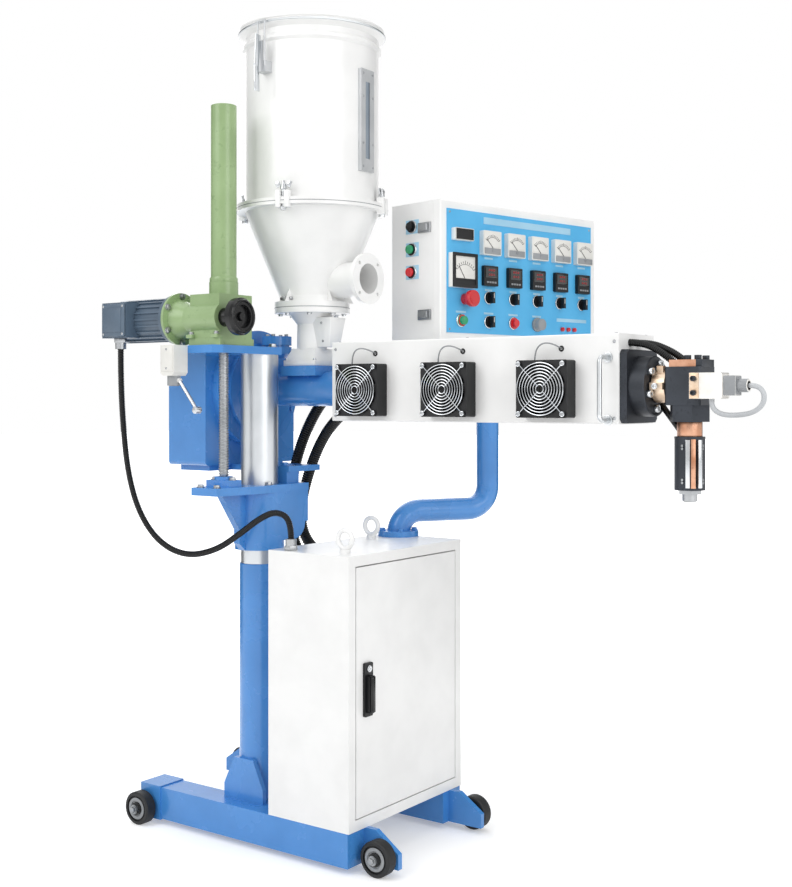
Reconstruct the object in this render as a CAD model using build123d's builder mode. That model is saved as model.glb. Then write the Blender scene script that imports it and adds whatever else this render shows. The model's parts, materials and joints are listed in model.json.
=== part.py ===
from build123d import *
import os
from math import cos, radians, sin, sqrt, tan

# A small stripe extruder on a wheeled stand. A chrome mast rises from a two-beam base, and a screw
# jack on its top lifts a carriage with the gearbox, the hopper, the fan-cooled barrel and the die.
# A cabinet on the base holds a bent pipe that carries the control box.
# Millimetres. While modelling, X runs along the barrel towards the die, Y runs away from the fans,
# Z is up from the floor, and the mast's axis is at X = Y = 0. At the end every piece is shifted so
# that the origin is at the middle of the bottom of the box around the object without its cords.

# Base
BEAM_LEFT = -301
BEAM_RIGHT = 349
BEAM_BOTTOM = 15
BEAM_HEIGHT = 77
BEAM_WIDTH = 74
FRONT_BEAM_Y = -62
REAR_BEAM_Y = 314
END_SLEEVE_LENGTH = 68
END_SLEEVE_PROUD = 3
CROSS_BEAM_HALF = 62
BRACKET_PLATE = 14
BRACKET_REACH = 94
BRACKET_TIP_HEIGHT = 34
GUSSET_PLATE = 12
GUSSET_FOOT = 62
GUSSET_HEAD = 30
GUSSET_HEIGHT = 100
WHEEL_RADIUS = 40
WHEEL_WIDTH = 30
WHEEL_TREAD = 9
WHEEL_BORE = 8
WHEEL_GAP = 5
AXLE_RADIUS = 7.5
AXLE_HEAD_RADIUS = 11
AXLE_HEAD = 7

# Mast, lift and screw jack
COLUMN_RADIUS = 48
COLUMN_TOP = 655
MAST_RADIUS = 45
MAST_SEAT = 455
MAST_TOP = 1156
FIT_GAP = 0.3
SWITCH_SIZE = 44
SWITCH_HEIGHT = 71
SWITCH_RIGHT = -50
LEVER_DROP = 68
LEVER_REACH = 56
TOP_PLATE = 18
TOP_PLATE_LEFT = -75
TOP_PLATE_RIGHT = 45
TOP_PLATE_FRONT = -192
TOP_PLATE_BACK = 48
SCREW_Y = -124
SCREW_RADIUS = 12
SCREW_TOP = 1400
SCREW_CLEARANCE = 3
JACK_HALF = 52
JACK_FOOT_HALF = 64
JACK_FOOT = 16
JACK_BODY_HEIGHT = 102
JACK_BOSS_RADIUS = 34
JACK_BOSS_HEIGHT = 30
WORM_Y = -164
WORM_Z = 1237
WORM_BOSS_RADIUS = 34
BELL_X = -104
BELL_RADIUS = 62
BELL_THICKNESS = 14
MOTOR_RADIUS = 52
MOTOR_LENGTH = 166
MOTOR_CAP = 30
MOTOR_FIN = 4
MOTOR_FINS = 20
TERMINAL_BOX = 84
TUBE_RADIUS = 30
TUBE_WALL = 4
TUBE_TOP = 1736
HANDWHEEL_RADIUS = 43
HANDWHEEL_RIM = 22

# Carriage
COLLAR_BOTTOM = 689
COLLAR_TOP = 844
COLLAR_RADIUS = 60
COLLAR_CLEARANCE = 1
COLLAR_PLATE = 18
COLLAR_PLATE_HALF = 62
COLLAR_PLATE_FRONT = -190
COLLAR_NOSE_HALF = 40
ARM_BACK = 111
ARM_BOTTOM = 750
ARM_CORNER = 40
GUSSET_NOSE_Y = -140
GUSSET_WAIST_Z = 740
GUSSET_WAIST_Y = -80
SCREW_FLANGE = 16
SCREW_FLANGE_HALF = 36
MOUNT_PLATE = 14
MOUNT_HALF = 42
MOUNT_FRONT = 52
MOUNT_BACK = 170
GEARBOX_LEFT = -254
GEARBOX_RIGHT = -127
GEARBOX_FRONT = -55
GEARBOX_BACK = 275
GEARBOX_DROP = 189
GEARBOX_RISE = 108
GEARBOX_EDGE = 10
BARREL_Y = 115
BARREL_Z = 1075
DISC_RADIUS = 148
DISC_THICKNESS = 22
BELL_STEP_RADIUS = 116
BELL_NECK_RADIUS = 56
FEED_PIPE_RADIUS = 43
CAP_X = -45
CAP_RADIUS = 37
CAP_RISE = 131

# Feed throat and hopper
HOPPER_X = 70
THROAT_HALF = 50
THROAT_NECK = 34
SADDLE_HALF = 55
SADDLE_RISE = 31
SADDLE_HEIGHT = 24
THROAT_HEIGHT = 142
HOPPER_WALL = 3
CONE_FLANGE_RADIUS = 92
CONE_FLANGE = 14
CONE_BOTTOM_RADIUS = 80
CONE_FOOT = 28
CONE_HEIGHT = 212
HOPPER_RADIUS = 164
HOPPER_FLANGE_RADIUS = 186
HOPPER_FLANGE = 8
HOPPER_LIP_RADIUS = 178
HOPPER_HEIGHT = 428
LID_HEIGHT = 16
HINGE_PIN = 4
HINGE_EAR = 10
SIGHT_WIDTH = 50
SIGHT_START = 0.185
SIGHT_END = 0.752
SIGHT_DEPTH = 8
CATCH_WIDTH = 26
CATCH_GAP = 4
CATCH_SHARE = 0.28
INLET_RISE = 36
INLET_END = 245
INLET_RADIUS = 42
INLET_BORE = 36
INLET_FLANGE_RADIUS = 61
INLET_FLANGE = 10
INLET_BOLT_CIRCLE = 100
INLET_BOLT_HOLE = 4.5
INLET_BOLTS = 4

# Barrel, cover and fans
COVER_LEFT = 190
COVER_RIGHT = 932
COVER_TO_FRONT = 70
COVER_TO_BACK = 95
COVER_DROP = 77
COVER_RISE = 108
COVER_WALL = 3
BARREL_RADIUS = 38
FAN_SIZE = 120
FAN_DEPTH = 38
FAN_BORE = 57
FAN_CENTRES = (290, 530, 774)
FAN_DROP = 5
FAN_HUB = 22
FAN_BLADES = 7
FAN_TIP_GAP = 2.5
FAN_WEB = 4
GUARD_WIRE = 2
GUARD_STANDOFF = 6
GUARD_RINGS = (16, 29, 42, 55)
HANDLE_X = 908
HANDLE_HEIGHT = 128
HANDLE_ROD = 5
HANDLE_REACH = 38

# Die
DIE_X = 1054
END_PLATE_FRONT = 66
END_PLATE_BACK = 78
END_PLATE_HALF = 75
END_PLATE = 16
DIE_FLANGE_RADIUS = 62
DIE_FLANGE = 34
NECK_RADIUS = 26
BAND_RADIUS = 34
BAND_LENGTH = 28
DIE_HALF = 38
TERMINAL_LENGTH = 52
TERMINAL_LAP = 14
TERMINAL_PROUD = 22
TERMINAL_HEIGHT = 51
PLUG_LENGTH = 47
PLUG_RADIUS = 19
DIE_HEIGHT = 77
DIE_PLATE = 14
NUT_RADIUS = 42
NUT_HEIGHT = 33
DIE_NECK_RADIUS = 24.5
DIE_NECK = 30
HEATER_RADIUS = 30.5
HEATER_HEIGHT = 107
CLAMP_TURN = -54
CLAMP_SPREAD = 19
TIP_RADIUS = 15
TIP_HEIGHT = 24

# Cabinet
CABINET_LEFT = 117
CABINET_RIGHT = 352
CABINET_FRONT = -99
CABINET_BACK = 351
CABINET_TOP = 702
CABINET_WALL = 3
DOOR_MARGIN = 24
DOOR_THICKNESS = 18
DOOR_GAP = 3
DOOR_LIP = 10
LATCH_Z = 400
LATCH_HEIGHT = 120
LATCH_WIDTH = 30
EYE_RING = 20
EYE_WIRE = 6
GLAND_RADIUS = 13
GLAND_LENGTH = 26
HOSE_GLAND_RADIUS = 19
HOSE_GLAND = 12
HOSE_Y = 184
HOSE_START_LEVELS = (5, -50)
HOSE_END_Y = 208
HOSE_END_LEVELS = (600, 648)

# Control box
BOX_X = 329
BOX_Y = 545
BOX_TURN = -12
BOX_DEPTH = 150
BOX_WIDTH = 580
BOX_BOTTOM = 1191
BOX_HEIGHT = 340
BOX_WALL = 3
BOX_DOOR = 24
PANEL_MARGIN = 20
PANEL_PLATE = 3
PIPE_RADIUS = 29
PIPE_X = 178
PIPE_Y = 327
PIPE_RUN_Z = 764
PIPE_SET_BACK = 20
PIPE_BEND = 58
PIPE_FLANGE_RADIUS = 52
PIPE_FLANGE = 14

# Panel instruments
METER_SIZE = (64, 60)
METER_DEPTH = 14
RECORDER_SIZE = 84
CONTROLLER_SIZE = 50
CONTROLLER_DEPTH = 10
KNOB_RADIUS = 14
BUTTON_RADIUS = 14
STOP_RADIUS = 20

# Cords: each corner is rounded by a share of its shorter run, and the bends are free points in the air
CORD_ROUND = 0.45
CONDUIT_RADIUS = 7.5
HOSE_RADIUS = 14
DIE_CONDUIT_RADIUS = 6.5
PLUG_CABLE_RADIUS = 5
CORD_LEAD = 70
CORD_LANDING = 44
DIE_CORD_RISE = 90
MOTOR_CORD_BENDS = (
    (-248, -211, 985),
    (-243, -200, 870),
    (-222, -184, 775),
    (-172, -166, 705),
    (-100, -146, 676),
    (-20, -128, 694),
    (48, -116, 738),
    (100, -108, 775),
    (138, -95, 792),
)
HOSE_BENDS = (
    (
        (66, 189, 1052), (26, 192, 1000), (-2, 194, 925), (-26, 196, 845), (-36, 198, 760), (-26, 202, 680),
        (6, 206, 622),
    ),
    ((100, 189, 1001), (66, 192, 954), (40, 194, 886), (20, 196, 808), (14, 198, 738), (28, 204, 684)),
)
HOSE_LEADS = (56, 40)
HOSE_LANDINGS = (53, 43)

BEAM_TOP = BEAM_BOTTOM + BEAM_HEIGHT
JACK_BASE = MAST_TOP + TOP_PLATE
JACK_TOP = JACK_BASE + JACK_FOOT + JACK_BODY_HEIGHT
COVER_FRONT = BARREL_Y - COVER_TO_FRONT
COVER_BACK = BARREL_Y + COVER_TO_BACK
COVER_BOTTOM = BARREL_Z - COVER_DROP
COVER_TOP = BARREL_Z + COVER_RISE
FAN_Z = BARREL_Z - FAN_DROP
GEARBOX_BOTTOM = BARREL_Z - GEARBOX_DROP
GEARBOX_TOP = BARREL_Z + GEARBOX_RISE
CAP_TOP = BARREL_Z + CAP_RISE
SADDLE_BOTTOM = BARREL_Z + SADDLE_RISE
SADDLE_TOP = SADDLE_BOTTOM + SADDLE_HEIGHT
THROAT_TOP = SADDLE_TOP + THROAT_HEIGHT
CONE_BOTTOM = THROAT_TOP + CONE_FOOT
CONE_TOP = CONE_BOTTOM + CONE_HEIGHT
INLET_Z = CONE_BOTTOM + INLET_RISE
HOPPER_TOP = CONE_TOP + HOPPER_HEIGHT
SIGHT_BOTTOM = CONE_TOP + SIGHT_START * HOPPER_HEIGHT
SIGHT_TOP = CONE_TOP + SIGHT_END * HOPPER_HEIGHT
CATCH_TOP = HOPPER_TOP - CATCH_GAP
CATCH_HEIGHT = CATCH_SHARE * HOPPER_HEIGHT

X_WAY = (1, 0, 0)
Y_WAY = (0, 1, 0)
Z_WAY = (0, 0, 1)
LEFT_WAY = (-1, 0, 0)
FRONT_WAY = (0, -1, 0)
DOWN_WAY = (0, 0, -1)
FROM_BASE = (Align.CENTER, Align.CENTER, Align.MIN)

pieces = {}
cords = {}


def block(x_span, y_span, z_span, mode=Mode.ADD):
    """Add or cut a box between pairs of X, Y and Z."""
    spans = (x_span, y_span, z_span)
    middle = tuple((low + high) / 2 for low, high in spans)
    with Locations(middle):
        Box(*(high - low for low, high in spans), mode=mode)


def rod(start, way, radius, length, mode=Mode.ADD):
    """Add or cut a cylinder that begins at start and runs along way."""
    with Locations(Plane(origin=start, z_dir=way)):
        Cylinder(radius, length, align=FROM_BASE, mode=mode)


def spin(base, way, profile, mode=Mode.ADD):
    """Turn a closed outline of (radius, distance along way) points about the line through base."""
    along = Vector(*way)
    side = Vector(*X_WAY) if abs(along.Z) > 0.5 else Vector(*Z_WAY)
    with BuildSketch(Plane(origin=base, x_dir=side, z_dir=side.cross(along))) as outline:
        with BuildLine():
            Polyline(*profile, close=True)
        make_face()
    revolve(outline.sketch, axis=Axis(base, way), mode=mode)


def plate(plane, outline, thickness, mode=Mode.ADD):
    """Extrude a closed outline of plane points by a thickness along the plane's normal."""
    with BuildSketch(plane) as face:
        with BuildLine():
            Polyline(*outline, close=True)
        make_face()
    extrude(face.sketch, amount=thickness, mode=mode)


def wall_plane(y):
    """Return a plane that faces the front, with X to the right and Z up."""
    return Plane(origin=(0, y, 0), x_dir=X_WAY, z_dir=FRONT_WAY)


def keep(builder, name):
    """Label a finished piece and keep it for writing."""
    builder.part.label = name
    pieces[name] = builder.part


# Base: two long beams, a cross beam under the column and plates that carry the wheels
half_beam = BEAM_WIDTH / 2
sleeve_front = FRONT_BEAM_Y - half_beam - END_SLEEVE_PROUD

with BuildPart() as base_beams:
    front_span = (FRONT_BEAM_Y - half_beam, FRONT_BEAM_Y + half_beam)
    block((BEAM_LEFT, BEAM_RIGHT), front_span, (BEAM_BOTTOM, BEAM_TOP))
    sleeve_span = (sleeve_front, FRONT_BEAM_Y + half_beam + END_SLEEVE_PROUD)
    sleeve_levels = (BEAM_BOTTOM - END_SLEEVE_PROUD, BEAM_TOP + END_SLEEVE_PROUD)
    sleeve_left = BEAM_LEFT - END_SLEEVE_PROUD
    block((sleeve_left, sleeve_left + END_SLEEVE_LENGTH), sleeve_span, sleeve_levels)
    rear_span = (REAR_BEAM_Y - half_beam, REAR_BEAM_Y + half_beam)
    block((BEAM_LEFT, BEAM_RIGHT), rear_span, (BEAM_BOTTOM, BEAM_TOP))
keep(base_beams, "base_beams")

with BuildPart() as cross_beam:
    block((-CROSS_BEAM_HALF, CROSS_BEAM_HALF), (front_span[1], rear_span[0]), (BEAM_BOTTOM, BEAM_TOP))
keep(cross_beam, "cross_beam")


def bracket_outline(root, side):
    """Return the sloping outline of a wheel bracket that leaves a beam's end to one side."""
    tip = root + side * BRACKET_REACH
    return [
        (root, BEAM_BOTTOM),
        (tip, BEAM_BOTTOM),
        (tip, BEAM_BOTTOM + BRACKET_TIP_HEIGHT),
        (root + side * BRACKET_REACH / 3, BEAM_TOP),
        (root, BEAM_TOP),
    ]


front_bracket_y = front_span[1] - BRACKET_PLATE
rear_bracket_y = REAR_BEAM_Y - BRACKET_PLATE
axle_out = BRACKET_REACH - WHEEL_RADIUS
with BuildPart() as wheel_brackets:
    for beam_end, bracket_y, side in (
        (BEAM_RIGHT, front_bracket_y, 1),
        (BEAM_RIGHT, rear_bracket_y, 1),
        (BEAM_LEFT, rear_bracket_y, -1),
    ):
        plate(wall_plane(bracket_y + BRACKET_PLATE), bracket_outline(beam_end, side), BRACKET_PLATE)
keep(wheel_brackets, "wheel_brackets")

# Each wheel: axle X, the face that carries it, the way its axle points, and its name
wheel_places = (
    ("wheel_front_left", sleeve_left + WHEEL_RADIUS / 2, sleeve_front, -1),
    ("wheel_front_right", BEAM_RIGHT + axle_out, front_bracket_y, -1),
    ("wheel_rear_right", BEAM_RIGHT + axle_out, rear_bracket_y + BRACKET_PLATE, 1),
    ("wheel_rear_left", BEAM_LEFT - axle_out, rear_bracket_y + BRACKET_PLATE, 1),
)
for wheel_name, wheel_x, face_y, side in wheel_places:
    with BuildPart() as wheel:
        rim = WHEEL_RADIUS - WHEEL_TREAD
        edge = WHEEL_TREAD / 3
        dish = WHEEL_WIDTH / 6
        hub = AXLE_HEAD_RADIUS + WHEEL_TREAD / 2
        spin(
            (wheel_x, face_y + side * WHEEL_GAP, WHEEL_RADIUS),
            (0, side, 0),
            [
                (WHEEL_BORE, 0),
                (hub, 0),
                (hub, dish),
                (rim, dish),
                (rim, 0),
                (WHEEL_RADIUS - edge, 0),
                (WHEEL_RADIUS, edge),
                (WHEEL_RADIUS, WHEEL_WIDTH - edge),
                (WHEEL_RADIUS - edge, WHEEL_WIDTH),
                (rim, WHEEL_WIDTH),
                (rim, WHEEL_WIDTH - dish),
                (hub, WHEEL_WIDTH - dish),
                (hub, WHEEL_WIDTH),
                (WHEEL_BORE, WHEEL_WIDTH),
            ],
        )
    keep(wheel, wheel_name)

with BuildPart() as wheel_axles:
    for wheel_name, wheel_x, face_y, side in wheel_places:
        start = (wheel_x, face_y, WHEEL_RADIUS)
        reach = WHEEL_GAP + WHEEL_WIDTH + FIT_GAP
        rod(start, (0, side, 0), AXLE_RADIUS, reach + AXLE_HEAD)
        rod(start, (0, side, 0), AXLE_HEAD_RADIUS, WHEEL_GAP - FIT_GAP)
        rod((wheel_x, face_y + side * reach, WHEEL_RADIUS), (0, side, 0), AXLE_HEAD_RADIUS, AXLE_HEAD)
keep(wheel_axles, "wheel_axles")

# Column, mast and top plate
with BuildPart() as lower_column:
    rod((0, 0, BEAM_TOP), Z_WAY, COLUMN_RADIUS, COLUMN_TOP - BEAM_TOP)
    chamfer(lower_column.faces().sort_by(Axis.Z)[-1].edges(), (COLUMN_RADIUS - MAST_RADIUS) / 2)
    rod((0, 0, MAST_SEAT), Z_WAY, MAST_RADIUS + FIT_GAP, COLUMN_TOP - MAST_SEAT, Mode.SUBTRACT)
    for gusset_y in (-COLUMN_RADIUS + GUSSET_PLATE / 4, COLUMN_RADIUS + GUSSET_PLATE * 3 / 4):
        gusset = [
            (-GUSSET_FOOT, BEAM_TOP),
            (GUSSET_FOOT, BEAM_TOP),
            (GUSSET_FOOT, BEAM_TOP + GUSSET_HEIGHT / 3),
            (GUSSET_HEAD, BEAM_TOP + GUSSET_HEIGHT),
            (-GUSSET_HEAD, BEAM_TOP + GUSSET_HEIGHT),
            (-GUSSET_FOOT, BEAM_TOP + GUSSET_HEIGHT / 3),
        ]
        plate(wall_plane(gusset_y), gusset, GUSSET_PLATE)
keep(lower_column, "lower_column")

with BuildPart() as mast:
    rod((0, 0, MAST_SEAT), Z_WAY, MAST_RADIUS, MAST_TOP - MAST_SEAT)
keep(mast, "mast")

with BuildPart() as top_plate:
    x_span = (TOP_PLATE_LEFT, TOP_PLATE_RIGHT)
    block(x_span, (TOP_PLATE_FRONT, TOP_PLATE_BACK), (MAST_TOP, JACK_BASE))
    chamfer(top_plate.edges().filter_by(Axis.Z), TOP_PLATE)
    rod((0, SCREW_Y, MAST_TOP), Z_WAY, SCREW_RADIUS + SCREW_CLEARANCE, TOP_PLATE, Mode.SUBTRACT)
keep(top_plate, "top_plate")

# Screw jack: a ribbed casting with a bell for the motor, a tube above it and a handwheel
bell_end = BELL_X + BELL_THICKNESS
body_base = JACK_BASE + JACK_FOOT
with BuildPart() as screw_jack:
    foot_front = TOP_PLATE_FRONT + JACK_FOOT / 2
    foot_span = (TOP_PLATE_LEFT + JACK_FOOT, TOP_PLATE_RIGHT - JACK_FOOT / 4)
    block(foot_span, (foot_front, SCREW_Y + JACK_FOOT_HALF), (JACK_BASE, body_base))
    fillet(screw_jack.edges().filter_by(Axis.Z), JACK_FOOT / 2)
    body_span = (-JACK_HALF, foot_span[1])
    block(body_span, (WORM_Y - WORM_BOSS_RADIUS + JACK_FOOT, SCREW_Y + JACK_HALF), (body_base, JACK_TOP))
    rod((bell_end, WORM_Y, WORM_Z), X_WAY, WORM_BOSS_RADIUS, body_span[1] - bell_end)
    rod((0, SCREW_Y, JACK_TOP), Z_WAY, JACK_BOSS_RADIUS, JACK_BOSS_HEIGHT)
    spin(
        (BELL_X, WORM_Y, WORM_Z),
        X_WAY,
        [
            (0, 0),
            (BELL_RADIUS, 0),
            (BELL_RADIUS, BELL_THICKNESS / 2),
            (BELL_RADIUS * 0.76, BELL_THICKNESS / 2),
            (WORM_BOSS_RADIUS, BELL_THICKNESS * 3),
            (0, BELL_THICKNESS * 3),
        ],
    )
    for rib_x in (body_span[0] / 2, body_span[1] / 2):
        rib = [
            (foot_front + JACK_FOOT / 2, body_base),
            (SCREW_Y, body_base),
            (SCREW_Y, JACK_TOP - JACK_FOOT),
            (WORM_Y - WORM_BOSS_RADIUS / 2, JACK_TOP - JACK_FOOT),
        ]
        plate(Plane(origin=(rib_x, 0, 0), x_dir=Y_WAY, z_dir=X_WAY), rib, JACK_FOOT / 2)
    screw_bore = SCREW_RADIUS + SCREW_CLEARANCE
    jack_height = JACK_TOP + JACK_BOSS_HEIGHT - JACK_BASE
    rod((0, SCREW_Y, JACK_BASE), Z_WAY, screw_bore, jack_height, Mode.SUBTRACT)
keep(screw_jack, "screw_jack")

tube_base = JACK_TOP + JACK_BOSS_HEIGHT
with BuildPart() as screw_tube:
    rod((0, SCREW_Y, tube_base), Z_WAY, TUBE_RADIUS, TUBE_TOP - tube_base)
    tube_depth = TUBE_TOP - TUBE_WALL - tube_base
    rod((0, SCREW_Y, tube_base), Z_WAY, TUBE_RADIUS - TUBE_WALL, tube_depth, Mode.SUBTRACT)
    fillet(screw_tube.faces().sort_by(Axis.Z)[-1].edges(), TUBE_WALL / 2)
keep(screw_tube, "screw_tube")

motor_end = BELL_X - MOTOR_LENGTH - MOTOR_CAP
with BuildPart() as jack_motor:
    motor_step = BELL_RADIUS - MOTOR_FIN
    spin(
        (BELL_X, WORM_Y, WORM_Z),
        LEFT_WAY,
        [
            (0, 0),
            (motor_step, 0),
            (motor_step, BELL_THICKNESS),
            (MOTOR_RADIUS - MOTOR_FIN, BELL_THICKNESS),
            (MOTOR_RADIUS - MOTOR_FIN, MOTOR_LENGTH),
            (MOTOR_RADIUS, MOTOR_LENGTH),
            (MOTOR_RADIUS, MOTOR_LENGTH + MOTOR_CAP * 2 / 3),
            (MOTOR_RADIUS * 0.8, MOTOR_LENGTH + MOTOR_CAP),
            (0, MOTOR_LENGTH + MOTOR_CAP),
        ],
    )
    with BuildSketch(Plane(origin=(BELL_X, WORM_Y, WORM_Z), x_dir=FRONT_WAY, z_dir=LEFT_WAY)):
        with PolarLocations(MOTOR_RADIUS - MOTOR_FIN, MOTOR_FINS):
            Rectangle(MOTOR_FIN * 2, MOTOR_FIN)
    extrude(amount=MOTOR_LENGTH)
    box_front = WORM_Y - MOTOR_RADIUS - TERMINAL_BOX / 4
    box_left = motor_end + MOTOR_CAP / 4
    box_levels = (WORM_Z - TERMINAL_BOX / 2, WORM_Z + TERMINAL_BOX / 2)
    block((box_left, box_left + TERMINAL_BOX), (box_front, WORM_Y), box_levels)
    gland_x = box_left + TERMINAL_BOX / 2
    gland_y = WORM_Y - MOTOR_RADIUS
keep(jack_motor, "jack_motor")

with BuildPart() as handwheel:
    wheel_base = (body_span[1] + FIT_GAP, WORM_Y, WORM_Z)
    spin(
        wheel_base,
        X_WAY,
        [
            (0, 0),
            (HANDWHEEL_RADIUS * 0.5, 0),
            (HANDWHEEL_RADIUS * 0.42, HANDWHEEL_RIM * 1.6),
            (HANDWHEEL_RADIUS * 0.9, HANDWHEEL_RIM * 1.6),
            (HANDWHEEL_RADIUS, HANDWHEEL_RIM * 1.8),
            (HANDWHEEL_RADIUS, HANDWHEEL_RIM * 2.4),
            (HANDWHEEL_RADIUS * 0.9, HANDWHEEL_RIM * 2.6),
            (HANDWHEEL_RADIUS * 0.62, HANDWHEEL_RIM * 2.6),
            (HANDWHEEL_RADIUS * 0.55, HANDWHEEL_RIM * 2.2),
            (HANDWHEEL_RADIUS * 0.25, HANDWHEEL_RIM * 2.2),
            (HANDWHEEL_RADIUS * 0.2, HANDWHEEL_RIM * 2.5),
            (0, HANDWHEEL_RIM * 2.5),
        ],
    )
keep(handwheel, "handwheel")

# Limit switch on the front edge of the top plate, with a roller lever
switch_left = SWITCH_RIGHT - SWITCH_SIZE
switch_front = TOP_PLATE_FRONT - SWITCH_SIZE
switch_bottom = JACK_BASE - SWITCH_HEIGHT
lever_start = Vector(SWITCH_RIGHT - SWITCH_SIZE / 4, TOP_PLATE_FRONT - SWITCH_SIZE / 2, switch_bottom)
head_radius = SWITCH_SIZE / 3
with BuildPart() as limit_switch:
    block((switch_left, SWITCH_RIGHT), (switch_front, TOP_PLATE_FRONT), (switch_bottom, JACK_BASE))
    chamfer(limit_switch.edges().filter_by(Axis.Y).group_by(Axis.Z)[0], SWITCH_SIZE / 6)
    head_start = (switch_left + SWITCH_SIZE / 2, lever_start.Y, switch_bottom)
    rod(head_start, DOWN_WAY, head_radius, head_radius * 1.5)
    lever_z = switch_bottom - head_radius * 0.75
    pin_x = head_start[0] + head_radius / 2
    lever_way = Vector(LEVER_REACH, 0, -LEVER_DROP).normalized()
    lever_length = sqrt(LEVER_REACH**2 + LEVER_DROP**2)
    rod((pin_x, lever_start.Y, lever_z), X_WAY, head_radius / 3, head_radius)
    arm_start = Vector(pin_x + head_radius * 0.75, lever_start.Y, lever_z)
    rod(arm_start, lever_way, head_radius / 4, lever_length)
    tip = arm_start + lever_way * lever_length
    rod(tip - Vector(0, head_radius / 2, 0), Y_WAY, head_radius / 2, head_radius)
keep(limit_switch, "limit_switch")

# Lift collar: a sleeve on the mast with a nose for the screw and an arm at the back
under_plate = COLLAR_TOP - COLLAR_PLATE
side_plane = Plane(origin=(0, 0, 0), x_dir=Y_WAY, z_dir=X_WAY)
with BuildPart() as lift_collar:
    rod((0, 0, COLLAR_BOTTOM), Z_WAY, COLLAR_RADIUS, COLLAR_TOP - COLLAR_BOTTOM)
    nose = [
        (-COLLAR_PLATE_HALF, ARM_BACK),
        (-COLLAR_PLATE_HALF, -MAST_RADIUS),
        (-COLLAR_NOSE_HALF, COLLAR_PLATE_FRONT),
        (COLLAR_NOSE_HALF, COLLAR_PLATE_FRONT),
        (COLLAR_PLATE_HALF, -MAST_RADIUS),
        (COLLAR_PLATE_HALF, ARM_BACK),
    ]
    plate(Plane.XY.offset(under_plate), nose, COLLAR_PLATE)
    with BuildSketch(side_plane.offset(-COLLAR_RADIUS)):
        with BuildLine():
            Polyline((0, under_plate), (ARM_BACK, under_plate), (ARM_BACK, ARM_BOTTOM))
            Line((ARM_BACK, ARM_BOTTOM), (COLLAR_RADIUS + ARM_CORNER, ARM_BOTTOM))
            corner_low = (COLLAR_RADIUS, ARM_BOTTOM - ARM_CORNER)
            RadiusArc((COLLAR_RADIUS + ARM_CORNER, ARM_BOTTOM), corner_low, ARM_CORNER)
            Polyline(corner_low, (0, ARM_BOTTOM - ARM_CORNER), (0, under_plate))
        make_face()
    extrude(amount=COLLAR_RADIUS * 2)
    gusset = [
        (0, under_plate),
        (GUSSET_NOSE_Y, under_plate),
        (GUSSET_WAIST_Y, GUSSET_WAIST_Z),
        (GUSSET_WAIST_Y, COLLAR_BOTTOM + COLLAR_PLATE),
        (-COLLAR_RADIUS, COLLAR_BOTTOM),
        (0, COLLAR_BOTTOM),
    ]
    plate(side_plane.offset(-COLLAR_PLATE / 2), gusset, COLLAR_PLATE)
    ear = SCREW_FLANGE_HALF * 0.6
    flange_levels = (COLLAR_TOP, COLLAR_TOP + SCREW_FLANGE)
    block((-SCREW_FLANGE_HALF, SCREW_FLANGE_HALF), (SCREW_Y - ear, SCREW_Y + ear), flange_levels)
    rod((0, SCREW_Y, COLLAR_TOP), Z_WAY, ear, SCREW_FLANGE * 1.5)
    collar_bore = MAST_RADIUS + COLLAR_CLEARANCE
    rod((0, 0, COLLAR_BOTTOM), Z_WAY, collar_bore, COLLAR_TOP - COLLAR_BOTTOM, Mode.SUBTRACT)
keep(lift_collar, "lift_collar")

screw_base = COLLAR_TOP + SCREW_FLANGE * 1.5
with BuildPart() as lead_screw:
    rod((0, SCREW_Y, screw_base), Z_WAY, SCREW_RADIUS, SCREW_TOP - screw_base)
    chamfer(lead_screw.faces().sort_by(Axis.Z)[-1].edges(), SCREW_RADIUS / 4)
keep(lead_screw, "lead_screw")

# Mount that stands on the collar's arm and reaches behind the mast under the gearbox
mount_base = GEARBOX_BOTTOM - MOUNT_PLATE
with BuildPart() as gearbox_mount:
    block((-MOUNT_HALF, MOUNT_HALF), (MOUNT_FRONT, ARM_BACK - MOUNT_PLATE), (COLLAR_TOP, mount_base))
    under_gearbox = (GEARBOX_LEFT + MOUNT_PLATE, GEARBOX_RIGHT - MOUNT_PLATE)
    reach = (under_gearbox[1] - MOUNT_PLATE, MOUNT_HALF + MOUNT_PLATE / 2)
    block(reach, (MOUNT_FRONT, MOUNT_BACK), (mount_base, GEARBOX_BOTTOM))
    mount_span = (GEARBOX_FRONT + MOUNT_PLATE * 2, GEARBOX_BACK - MOUNT_PLATE * 2)
    block(under_gearbox, mount_span, (mount_base, GEARBOX_BOTTOM))
keep(gearbox_mount, "gearbox_mount")

with BuildPart() as gearbox:
    box_span = (GEARBOX_FRONT, GEARBOX_BACK)
    block((GEARBOX_LEFT, GEARBOX_RIGHT), box_span, (GEARBOX_BOTTOM, GEARBOX_TOP))
    fillet(gearbox.edges().filter_by(Axis.X), GEARBOX_EDGE)
    for boss_y in (GEARBOX_FRONT + GEARBOX_EDGE * 2.5, GEARBOX_BACK - GEARBOX_EDGE * 2.5):
        boss_z = GEARBOX_BOTTOM + GEARBOX_EDGE * 2
        rod((GEARBOX_LEFT, boss_y, boss_z), LEFT_WAY, GEARBOX_EDGE * 1.5, GEARBOX_EDGE)
keep(gearbox, "gearbox")

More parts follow.
